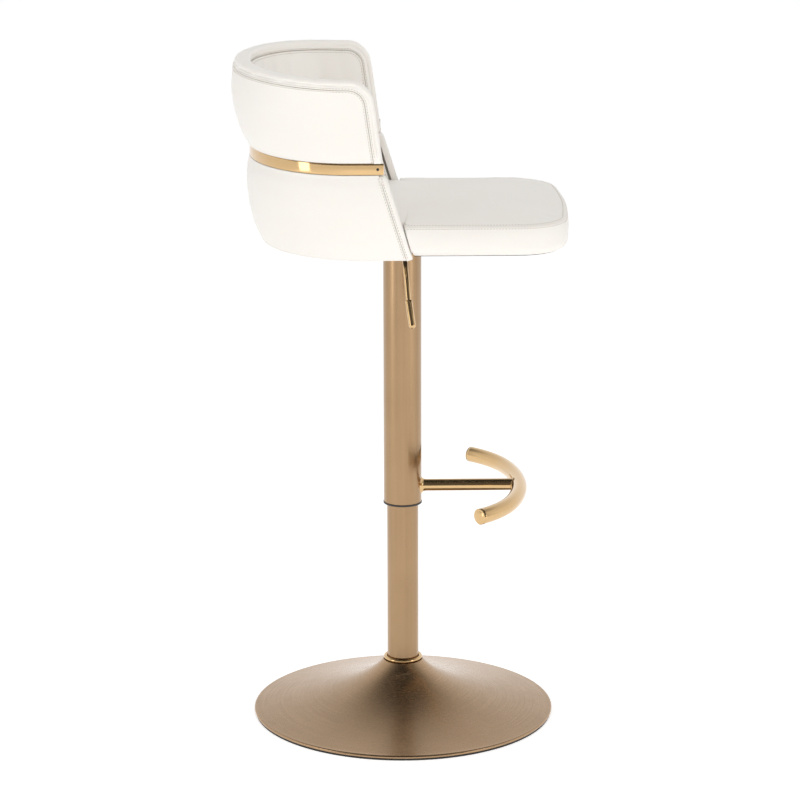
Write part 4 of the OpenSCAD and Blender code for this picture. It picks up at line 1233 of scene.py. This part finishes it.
@dataclass
class SeatCushion:
    """The seat: a boxed cushion with a crowned top panel and a bulging side band."""

    form: BackForm
    book: FinishBook
    padding: Padding = field(default_factory=lambda: Padding(cap=0.006))
    stitching: Stitching = field(default_factory=Stitching)
    corner_r: float = 0.080
    bow: float = 0.006
    band_h: float = 0.045
    crown: float = 0.012
    centre_y: float = -0.020
    seam_inset: float = 0.0055
    grid: int = 64
    under: float = 0.0136
    recess: float = 0.0136
    back_depth: float = 0.0208
    small_corner: float = 0.010
    tuck: float = 0.004

    def __post_init__(self) -> None:
        """Measures the frame."""
        low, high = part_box("seat_cushion")
        self.half_w, self.front = high.x, low.y + self.bow
        self.low_z = low.z
        self.seam_z = high.z - self.crown

    def half_outline(self, z: float, inset: float) -> np.ndarray:
        """The right half of the seat's outline, from the front middle to the rear middle.

        Args:
            z: Height, which sets where the shell cuts into the outline.
            inset: Distance inside the widest outline.

        Returns:
            Its points in plan.
        """
        f = self.form
        w, front = self.half_w - inset, self.front + inset
        r = max(self.corner_r - inset, self.small_corner)
        step = f.shell_edge(z) - 0.001 - inset * 0.3
        a, rear = (c - self.back_depth - inset * 0.4 for c in f.core(z))
        bend = f.bend(z)
        half_front = w - r
        ahead = [(x, front - self.bow * math.cos(math.pi * x / half_front / 2))
                 for x in np.linspace(0, half_front, 21)[:-1]]
        turn = [(w - r + r * math.sin(t), front + r - r * math.cos(t))
                for t in np.linspace(0, math.pi / 2, 23)[:-1]]
        ease = self.tuck
        side = [(w, y) for y in np.linspace(front + r, step - ease, 31)[:-1]]
        tuck = [(w, step - ease), (w - ease * 0.3, step - ease * 0.3), (w - ease, step),
                (w - ease * 2, step), (a + 0.003, step), (a + 0.0008, step + 0.0008)]
        t = np.linspace(0.0, math.pi / 2, 51)
        back = [(a * math.cos(v), max(bend + (rear - bend) * math.sin(v), step + ease))
                for v in t[1:]]
        straight = np.linspace(step + ease, bend, 9)
        run = [(a, y) for y in straight] + back
        run = np.array(run)
        length = np.concatenate([[0], np.cumsum(np.linalg.norm(np.diff(run, axis=0), axis=1))])
        at = np.linspace(0, length[-1], 51)
        run = np.stack([np.interp(at, length, run[:, k]) for k in range(2)], 1)
        return np.array(ahead + turn + side + tuck + run[:50].tolist() + [(0.0, rear)])

    def outline(self, z: float, inset: float, height: float) -> np.ndarray:
        """The whole outline as points at a height, anticlockwise from the front middle."""
        half = self.half_outline(z, inset)
        left = half[1:-1][::-1] * (-1, 1)
        plan = np.concatenate([half, left])
        return np.column_stack([plan, np.full(len(plan), height)])

    def side_inset(self, h: float) -> float:
        """How far the side band stands in from its widest line at a height."""
        full = self.band_h
        low = 0.008 * max(0.0, 1 - h / 0.013) ** 2
        high = 0.0035 * max(0.0, (h - 0.028) / (full - 0.028)) ** 2
        return low + high

    def rows(self) -> tuple[np.ndarray, np.ndarray, np.ndarray]:
        """Rings from under the board up to the top panel's field.

        Returns:
            The rings, each ring's nearness to a seam, and how firmly each is held.
        """
        z0, full = self.low_z, self.band_h
        rings, seam, hold = [], [], []

        def ring(at: float, inset: float, height: float, near: float, held: float) -> None:
            """Adds one ring."""
            rings.append(self.outline(at, inset, height))
            seam.append(near)
            hold.append(held)

        ring(z0, self.under, z0 + self.recess, 1, 1)
        ring(z0, self.under, z0, 1, 1)
        ring(z0, 0.0105, z0, 0.3, 1)
        for h in (0.0004, 0.0015, 0.0035, 0.006, 0.0095, 0.014, 0.019, 0.024, 0.029, 0.034,
                  0.038, 0.041, 0.043):
            ring(z0 + h, self.side_inset(h), z0 + h, max(0, (h - 0.038) / 0.007),
                 1.0 if h < 0.001 else 0.0)
        ring(z0 + full, 0.0036, z0 + full - 0.0008, 0.9, 0.6)
        ring(z0 + full, self.seam_inset, z0 + full, 1.0, 1.0)
        for gap, up in ((0.0006, 0.0010), (0.0016, 0.0019), (0.0032, 0.0028), (0.0055, 0.0036)):
            ring(z0 + full, self.seam_inset + gap, z0 + full + up, max(0, 1 - gap / 0.006),
                 0.6 if gap < 0.001 else 0.0)
        return np.array(rings), np.array(seam), np.array(hold)

    def top(self, edge: np.ndarray) -> np.ndarray:
        """The top panel's field as a square grid drawn out to a ring.

        Args:
            edge: The ring that it grows from.

        Returns:
            Points by row and column of the grid, without its outermost ring.
        """
        n, half = self.grid, self.grid // 2
        centre = np.array([0.0, self.centre_y])
        ring_z = edge[0, 2]
        count = len(edge)
        closed = np.concatenate([edge, edge[:1]])
        points = np.zeros((n + 1, n + 1, 3))
        for j in range(n + 1):
            for i in range(n + 1):
                u, v = i - half, j - half
                m = max(abs(u), abs(v))
                at = self.ring_place(u, v, m) / (8 * m) * count if m else 0.0
                low = int(at) % count
                share = at - int(at)
                rim = closed[low] * (1 - share) + closed[low + 1] * share
                k = m / half
                plan = centre + (rim[:2] - centre) * k
                lift = (self.low_z + self.band_h + self.crown - ring_z) * (1 - k ** 4.2)
                points[j, i] = (*plan, ring_z + lift)
        return points

    @staticmethod
    def ring_place(u: int, v: int, m: int) -> float:
        """How far round a square ring a grid point lies, from the front middle."""
        if v == -m and u >= 0:
            return u
        if u == m:
            return 2 * m + v
        if v == m:
            return 4 * m - u
        if u == -m:
            return 6 * m - v
        return 8 * m + u

    def make(self) -> None:
        """Builds, stuffs, dresses and sews the cushion."""
        rings, seam, hold = self.rows()
        rows, count = rings.shape[:2]
        n, half = self.grid, self.grid // 2
        field_points = self.top(rings[-1])
        points = rings.reshape(-1, 3).tolist()
        number = np.zeros((n + 1, n + 1), int)
        for j in range(n + 1):
            for i in range(n + 1):
                u, v = i - half, j - half
                m = max(abs(u), abs(v))
                if m == half:
                    number[j, i] = (rows - 1) * count + self.ring_place(u, v, m) % count
                else:
                    number[j, i] = len(points)
                    points.append(field_points[j, i].tolist())
        faces = weave(rows, count, 0, False, True)
        faces += [(number[j, i], number[j, i + 1], number[j + 1, i + 1], number[j + 1, i])
                  for j in range(n) for i in range(n)]
        faces += [(k, (count - k) % count, count - k - 1, k + 1) for k in range(1, count // 2 - 1)]
        faces += [(0, count - 1, 1), (count // 2 - 1, count // 2 + 1, count // 2)]
        piece = build("seat_cushion_leather", np.array(points), faces)
        extra = len(points) - rows * count
        near = np.concatenate([np.repeat(seam, count), np.zeros(extra)])
        held = np.concatenate([np.repeat(hold, count), np.zeros(extra)])
        place = np.array(points)
        inside = np.array([p[1] > self.form.shell_edge(p[2]) for p in place])
        held[:rows * count] = np.maximum(held[:rows * count], inside[:rows * count])
        self.padding.stuff(piece, near, held, 0.85)
        self.book.fit(piece, Slot.LEATHER, "seat", "seat_cushion")
        self.sew(piece)

    def sew(self, cushion: Piece) -> Piece:
        """Two rows of stitches, either side of the top seam, outside the shell."""
        rows = []
        z = self.low_z + self.band_h
        for inset, height in ((0.0022, z - 0.0030), (self.seam_inset + 0.0028, z + 0.0030)):
            line = self.outline(z, inset, height)
            line = np.concatenate([line, line[:1]])
            start = int(np.argmax(line[:, 1]))
            line = np.concatenate([line[start:-1], line[:start + 1]])
            rows.append(line[line[:, 1] < self.form.shell_edge(z) - 0.003])
        return self.stitching.sew("seat_stitches", [cushion], rows, self.book)


# ---- Metalwork ----


@dataclass
class TrumpetBase:
    """The spun trumpet base with its rolled rim and collar ring."""

    book: FinishBook
    rim_bead: float = 0.0026
    sheet: float = 0.0022
    flare_foot: float = 0.0075
    steps: int = 90

    def make(self) -> None:
        """Builds and dresses the base."""
        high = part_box("base_shell")[1]
        collar_low, collar_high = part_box("base_collar")
        bead = (collar_high.z - collar_low.z) / 2
        neck_r = collar_high.x
        rim_r = high.x - self.rim_bead
        rim_z, neck_z = self.flare_foot, collar_low.z
        base_r = high.x
        slope = (neck_z - rim_z) / math.log(base_r / neck_r)
        radii = neck_r * (rim_r / neck_r) ** np.linspace(0, 1, self.steps)
        outer = [(r, rim_z + slope * math.log(base_r / r)) for r in radii]
        inner = [(r, z - self.sheet) for r, z in reversed(outer)]
        end_z = outer[-1][1]
        turn = np.linspace(0.5 * math.pi, -0.9 * math.pi, 22)
        centre_z = end_z - self.rim_bead
        lip = [(rim_r + self.rim_bead * math.cos(t), centre_z + self.rim_bead * math.sin(t))
               for t in turn]
        profile = lip[::-1] + outer[::-1] + inner[::-1]
        shell = lathe("base_trumpet", profile, 256)
        self.book.fit(shell, Slot.GOLD_BRUSHED, "base", "base_shell")
        middle_r, middle_z = neck_r - bead, (collar_low.z + collar_high.z) / 2
        ring = [(middle_r + bead * math.cos(t), middle_z + bead * math.sin(t))
                for t in np.linspace(0, TURN, 40, endpoint=False)]
        collar = lathe("base_collar_ring", ring, 160)
        self.book.fit(collar, Slot.GOLD_POLISHED, "base", "base_collar")


@dataclass
class Column:
    """The fixed column and the sleeve that rises with the seat."""

    book: FinishBook
    column_wall: float = 0.0020
    sleeve_wall: float = 0.0018

    def make(self) -> None:
        """Builds and dresses both tubes."""
        for node, name, wall, body in (("column", "column_tube", self.column_wall, "base"),
                                       ("sleeve", "sleeve_tube", self.sleeve_wall, "seat")):
            low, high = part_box(node)
            tube = lathe(name, tube_profile(high.x, high.x - wall, low.z, high.z), 128)
            self.book.fit(tube, Slot.GOLD_SATIN, body, node)


@dataclass
class Footrest:
    """The bowed footrest, its stem and the welds that hold it."""

    book: FinishBook
    reach: float = 0.185
    middle_r: float = 0.320
    middle_half: float = 0.100
    end_r: float = 0.174
    end_turn: float = math.radians(31.8)
    sides: int = 56

    def __post_init__(self) -> None:
        """Measures the frame."""
        low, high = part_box("footrest_bar")
        self.radius = (high.z - low.z) / 2
        self.height = (high.z + low.z) / 2
        stem_low, stem_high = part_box("footrest_stem")
        self.stem_r = (stem_high.z - stem_low.z) / 2
        self.sleeve_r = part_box("sleeve")[1].x

    def centreline(self) -> np.ndarray:
        """The bar's centreline from the left end to the right."""
        turn = math.asin(self.middle_half / self.middle_r)
        middle_y = self.middle_r - self.reach
        end_x = self.middle_half - self.end_r * math.sin(turn)
        end_y = middle_y - (self.middle_r - self.end_r) * math.cos(turn)
        middle = [(self.middle_r * math.sin(t), middle_y - self.middle_r * math.cos(t))
                  for t in np.linspace(0, turn, 24)[:-1]]
        end = [(end_x + self.end_r * math.sin(t), end_y - self.end_r * math.cos(t))
               for t in np.linspace(turn, turn + self.end_turn, 30)]
        right = np.array(middle + end)
        plan = np.concatenate([right[:0:-1] * (-1, 1), right])
        return np.column_stack([plan, np.full(len(plan), self.height)])

    def bar(self) -> None:
        """The bar itself."""
        piece = sweep("footrest_tube", self.centreline(), self.radius, self.sides)
        self.book.fit(piece, Slot.GOLD_POLISHED, "seat", "footrest_bar")

    def cap_rings(self) -> list[tuple[float, float]]:
        """A pressed cap: distance beyond the tube's end and radius, ring by ring."""
        r = self.radius
        return [(0.0, r - 0.0005), (0.0001, r - 0.0002), (0.0005, r), (0.0010, r),
                (0.0013, r - 0.0003), (0.0013, r - 0.0016), (0.0012, r - 0.0022),
                (0.0016, r - 0.0032), (0.0020, r * 0.60), (0.0024, r * 0.35),
                (0.0025, r * 0.12)]

    def caps(self) -> None:
        """The two pressed caps that close the bar, as one piece."""
        line = self.centreline()
        points, faces, up = [], [], np.array((0.0, 0.0, 1.0))
        for end, before in ((line[0], line[1]), (line[-1], line[-2])):
            along = (end - before) / np.linalg.norm(end - before)
            side = np.cross(along, up)
            start = len(points)
            for gap, r in self.cap_rings():
                points += circle(end + along * gap, side, up, r, self.sides)
            ring_faces = weave(len(self.cap_rings()), self.sides, start, False, True)
            faces += [tuple(reversed(f)) for f in ring_faces]
            faces.append(end_face(len(points) - self.sides, self.sides, True))
        piece = build("footrest_end_caps", np.array(points), faces)
        self.book.fit(piece, Slot.GOLD_POLISHED, "seat", "footrest_caps")

    def stem(self) -> None:
        """The stem between the sleeve and the bar."""
        line = np.column_stack([np.zeros(24),
                                np.linspace(-self.sleeve_r * 0.95, -self.reach, 24),
                                np.full(24, self.height)])
        piece = sweep("footrest_stem_tube", line, self.stem_r, 48)
        self.book.fit(piece, Slot.GOLD_POLISHED, "seat", "footrest_stem")

    def flare(self) -> None:
        """The flared and welded foot of the stem on the sleeve."""
        low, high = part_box("stem_flange")
        wide = (high.z - low.z) / 2
        run = -(low.y) - self.sleeve_r + 0.001
        rows, sides = 14, 72
        points = []
        for k in range(rows):
            share = k / (rows - 1)
            radius = self.stem_r + 0.0002 + (wide - self.stem_r) * (1 - share) ** 2.4
            for j in range(sides):
                t = TURN * j / sides
                ripple = 1 + 0.035 * math.sin(17 * t + 0.8) * (1 - share) ** 6
                x, z = radius * ripple * math.cos(t), radius * ripple * math.sin(t)
                wall = -math.sqrt(self.sleeve_r ** 2 - x * x)
                points.append((x, wall + 0.0006 - run * share, self.height + z))
        points = np.array(points)
        piece = build("stem_flare", points, weave(rows, sides, 0, False, True))
        self.book.fit(piece, Slot.GOLD_POLISHED, "seat", "stem_flange")

    def bar_weld(self) -> None:
        """A rippled bead where the stem meets the bar."""
        middle_y = self.middle_r - self.reach
        line = []
        for t in np.linspace(0, TURN, 120, endpoint=False):
            x, z = self.stem_r * math.cos(t), self.stem_r * math.sin(t)
            depth = math.sqrt(max(self.radius ** 2 - z * z, 0))
            line.append((x, middle_y - math.sqrt((self.middle_r - depth) ** 2 - x * x),
                         self.height + z))
        line = np.array(line)
        ripple = 0.0013 + 0.0002 * np.sin(np.linspace(0, 34 * TURN, 120, endpoint=False))
        run = np.roll(line, -1, axis=0) - np.roll(line, 1, axis=0)
        run /= np.linalg.norm(run, axis=1, keepdims=True)
        sides, points = 12, []
        for centre, along, r in zip(line, run, ripple):
            side = np.cross(along, (0.0, 1.0, 0.0))
            side /= np.linalg.norm(side)
            up = np.cross(side, along)
            points += circle(centre, side, up, r, sides)
        piece = build("footrest_weld", np.array(points), weave(120, sides, 0, True, True))
        self.book.fit(piece, Slot.GOLD_POLISHED, "seat")

    def make(self) -> None:
        """Builds and dresses the whole footrest."""
        self.bar()
        self.caps()
        self.stem()
        self.flare()
        self.bar_weld()


@dataclass
class Lever:
    """The height lever's bent rod and its sleeve grip."""

    book: FinishBook
    radius: float = 0.0040
    grip_r: float = 0.0055
    route: tuple[tuple[float, float, float], ...] = (
        (-0.036, 0.0, -0.0011), (-0.066, -0.0006, -0.0062), (-0.094, -0.0014, -0.011),
        (-0.106, -0.0026, -0.018), (-0.112, -0.0036, -0.031), (-0.119, -0.0053, -0.049),
        (-0.127, -0.0072, -0.071), (-0.130, -0.0081, -0.0768), (-0.1325, -0.0088, -0.0815))
    grip_from: tuple[float, float, float] = (-0.127, -0.0072, -0.071)
    grip_to: tuple[float, float, float] = (-0.145, -0.0123, -0.105)

    def smooth(self) -> np.ndarray:
        """The rod's centreline as a smooth curve through its route."""
        route = np.array(self.route)
        line = []
        for i in range(len(route) - 1):
            a, b = route[max(i - 1, 0)], route[i]
            c, d = route[i + 1], route[min(i + 2, len(route) - 1)]
            for t in np.linspace(0, 1, 8, endpoint=False):
                line.append(0.5 * (2 * b + (c - a) * t + (2 * a - 5 * b + 4 * c - d) * t * t
                                   + (3 * b - a - 3 * c + d) * t ** 3))
        return np.array([*line, route[-1]])

    def make(self) -> None:
        """Builds and dresses the rod and the grip."""
        low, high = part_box("pivot_pin")
        pivot = np.array([0.0, 0.0, (low.z + high.z) / 2])
        rod = sweep("lever_bent_rod", self.smooth() + pivot, self.radius, 32)
        self.book.fit(rod, Slot.GOLD_POLISHED, "lever", "lever_rod")
        start, end = np.array(self.grip_from) + pivot, np.array(self.grip_to) + pivot
        along = (end - start) / np.linalg.norm(end - start)
        length, r = np.linalg.norm(end - start), self.grip_r
        stations = [(0.0, 0.0042), (0.0, r - 0.0006), (0.0003, r - 0.0002), (0.0008, r),
                    (0.003, r), (length * 0.5, r), (length, r)]
        stations += [(length + r * math.sin(t), r * math.cos(t))
                     for t in np.radians((12, 24, 36, 48, 60, 70, 79, 86))]
        path = np.array([start + along * (s + 1e-6 * k)
                         for k, (s, _) in enumerate(stations)])
        grip = sweep("lever_grip_sleeve", path, np.array([q for _, q in stations]), 36)
        self.book.fit(grip, Slot.GOLD_POLISHED, "lever", "lever_grip")


@dataclass
class TrimBand:
    """The polished band around the waist of the back, with its end pins."""

    form: BackForm
    book: FinishBook
    thickness: float = 0.0018
    edge: float = 0.0007
    pin_r: float = 0.0022
    pin_gap: float = 0.0002
    pin_back: float = 0.009

    def section(self) -> list[tuple[float, float]]:
        """The band's section: distance outside its inner face, and height share."""
        t, e = self.thickness, self.edge
        high = self.form.band_z1 - self.form.band_z0
        face = [(t - e + e * math.sin(a), e - e * math.cos(a)) for a in np.radians((0, 30, 60))]
        crown = [(t + 0.0003 * math.sin(math.pi * s), e + (high - 2 * e) * s)
                 for s in np.linspace(0, 1, 9)]
        top = [(x, high - h) for x, h in reversed(face)]
        return [(0.0, 0.0)] + face + crown + top + [(0.0, high)]

    def make(self) -> None:
        """Builds and dresses the band and its two pins."""
        f = self.form
        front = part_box("trim_band")[0].y
        inner = (f.band_side - self.thickness, f.band_rear - self.thickness)
        lines = []
        for out, h in self.section():
            size = (inner[0] + out, inner[1] + out)
            line = f.level(f.waist, size, front, 0.0)
            line[:, 2] = f.band_z0 + h
            lines.append(line)
        grid = np.array(lines)
        rows, columns = grid.shape[:2]
        faces = weave(rows, columns, 0, True, False)
        faces += [tuple(r * columns for r in range(rows - 1, -1, -1)),
                  tuple(r * columns + columns - 1 for r in range(rows))]
        band = build("trim_band_polished", grid, faces)
        self.book.fit(band, Slot.GOLD_POLISHED, "seat", "trim_band")
        self.pins(front)

    def pins(self, front: float) -> None:
        """A domed pin near each end of the band."""
        points, faces, sides = [], [], 24
        rings = ((0.0, 1.0), (0.0004, 1.0), (0.0008, 0.82), (0.0011, 0.5), (0.0012, 0.15))
        for side in (-1, 1):
            start = len(points)
            for out, share in rings:
                centre = np.array((side * (self.form.band_side + self.pin_gap + out),
                                   front + self.pin_back, self.form.waist))
                points += circle(centre, np.array((0, 1, 0)), np.array((0, 0, side)),
                                 self.pin_r * share, sides)
            faces += weave(len(rings), sides, start, False, True)
            faces.append(end_face(len(points) - sides, sides))
        piece = build("band_end_pins", np.array(points), faces)
        self.book.fit(piece, Slot.BLACK_STEEL, "seat")


# ---- Studio ----


@dataclass
class Studio:
    """A pale floor, soft lights and the camera."""

    floor_half: float = 30.0
    camera_at: tuple[float, float, float] = (-4.9991, 0.0960, 1.8229)
    heading: float = math.radians(-1.1)
    pitch: float = math.radians(14.657)
    roll: float = math.radians(-0.117)
    lens: float = 147.2
    shift_x: float = -0.0031

    def floor(self) -> None:
        """A pale matt floor under the stool."""
        h = self.floor_half
        points = np.array([(-h, -h, 0), (h, -h, 0), (h, h, 0), (-h, h, 0)])
        floor = build("studio_floor", points, [(0, 1, 2, 3)])
        g = Graph("pale floor")
        tone = g.noise(0.6, 2.0)
        floor.data.materials.append(g.finish(
            Base_Color=g.blend(tone, (0.93, 0.93, 0.93), (0.90, 0.90, 0.90)),
            Roughness=0.9, Specular_IOR_Level=0.1, Emission_Color=(1, 1, 1, 1),
            Emission_Strength=0.45))

    def softbox(self, name: str, at: tuple[float, float, float], size: tuple[float, float],
                power: float, mirrored: bool = True,
                aim: tuple[float, float, float] = (0.0, 0.0, 0.5)) -> None:
        """Adds one soft light.

        Args:
            name: Its name.
            at: Its place.
            size: Its width and height.
            power: Its power in watts.
            mirrored: Whether bright metal shows it.
            aim: The point that it faces.
        """
        data = bpy.data.lights.new(name, "AREA")
        data.shape, data.size, data.size_y = "RECTANGLE", size[0], size[1]
        data.energy = power
        light = bpy.data.objects.new(name, data)
        light.location = at
        light.visible_glossy = mirrored
        light.rotation_mode = "QUATERNION"
        light.rotation_quaternion = (Vector(aim) - Vector(at)).to_track_quat("-Z", "Y")
        bpy.context.scene.collection.objects.link(light)

    def lights(self) -> None:
        """Large softboxes and a pale surround."""
        self.softbox("front softbox", (-4.5, -0.6, 2.6), (3.0, 2.2), 51, False)
        self.softbox("top softbox", (0.4, 0.2, 3.6), (2.2, 2.2), 18, False)
        self.softbox("left softbox", (-1.6, 3.2, 0.9), (0.9, 2.2), 14)
        self.softbox("right softbox", (-2.2, -3.2, 0.9), (0.9, 2.2), 14)
        world = bpy.data.worlds.new("studio surround")
        bpy.context.scene.world = world
        world.use_nodes = True
        tree = world.node_tree
        tree.nodes.clear()
        link = tree.links.new
        path = tree.nodes.new("ShaderNodeLightPath")
        output = tree.nodes.new("ShaderNodeOutputWorld")
        coords = tree.nodes.new("ShaderNodeTexCoord")
        parts = tree.nodes.new("ShaderNodeSeparateXYZ")
        ramp = tree.nodes.new("ShaderNodeValToRGB")
        link(coords.outputs["Generated"], parts.inputs[0])
        link(parts.outputs["Z"], ramp.inputs["Fac"])
        stops = ((0.0, 1.1), (0.35, 1.0), (0.62, 0.85), (0.80, 0.28), (0.93, 0.05), (1.0, 0.03))
        elements = ramp.color_ramp.elements
        while len(elements) < len(stops):
            elements.new(1.0)
        for element, (at, value) in zip(elements, stops):
            element.position = at
            element.color = (value, value, value, 1)
        shades = {}
        for name, strength in (("seen", 1.0), ("soft", 0.60), ("mirrored", 1.0)):
            shades[name] = tree.nodes.new("ShaderNodeBackground")
            shades[name].inputs["Strength"].default_value = strength
            shades[name].inputs["Color"].default_value = (1, 1, 1, 1)
        side = tree.nodes.new("ShaderNodeMapRange")
        side.inputs["From Min"].default_value, side.inputs["From Max"].default_value = -0.75, 0.1
        side.inputs["To Min"].default_value, side.inputs["To Max"].default_value = 0.14, 1.0
        link(parts.outputs["X"], side.inputs["Value"])
        link(ramp.outputs["Color"], shades["mirrored"].inputs["Color"])
        link(side.outputs[0], shades["mirrored"].inputs["Strength"])
        first, second = (tree.nodes.new("ShaderNodeMixShader") for _ in range(2))
        link(path.outputs["Is Glossy Ray"], first.inputs[0])
        link(shades["soft"].outputs[0], first.inputs[1])
        link(shades["mirrored"].outputs[0], first.inputs[2])
        link(path.outputs["Is Camera Ray"], second.inputs[0])
        link(first.outputs[0], second.inputs[1])
        link(shades["seen"].outputs[0], second.inputs[2])
        link(second.outputs[0], output.inputs["Surface"])

    def camera(self) -> None:
        """The camera, level with the seat and looking down a little."""
        data = bpy.data.cameras.new("studio camera")
        data.lens, data.shift_x, data.clip_end = self.lens, self.shift_x, 200
        camera = bpy.data.objects.new("studio camera", data)
        camera.location = self.camera_at
        look = Vector((math.cos(self.heading) * math.cos(self.pitch),
                       math.sin(self.heading) * math.cos(self.pitch), -math.sin(self.pitch)))
        turn = look.to_track_quat("-Z", "Y").to_matrix()
        camera.rotation_euler = (turn @ Matrix.Rotation(self.roll, 3, "Z")).to_euler()
        bpy.context.scene.collection.objects.link(camera)
        bpy.context.scene.camera = camera

    def make(self) -> None:
        """Sets up the floor, the lights, the camera and the tone."""
        self.floor()
        self.lights()
        self.camera()
        bpy.context.scene.view_settings.view_transform = "Standard"


def main() -> None:
    """Builds every piece in order."""
    logging.basicConfig(level=logging.INFO, format="%(message)s")
    book = FinishBook()
    book.dress_frame()
    form = BackForm()
    for part in (TrumpetBase(book), Column(book), Footrest(book), Lever(book),
                 TrimBand(form, book), SeatCushion(form, book), BackPanels(form, book),
                 Studio()):
        part.make()
        log.info("%s is built", type(part).__name__)


if __name__ == "__main__":
    main()
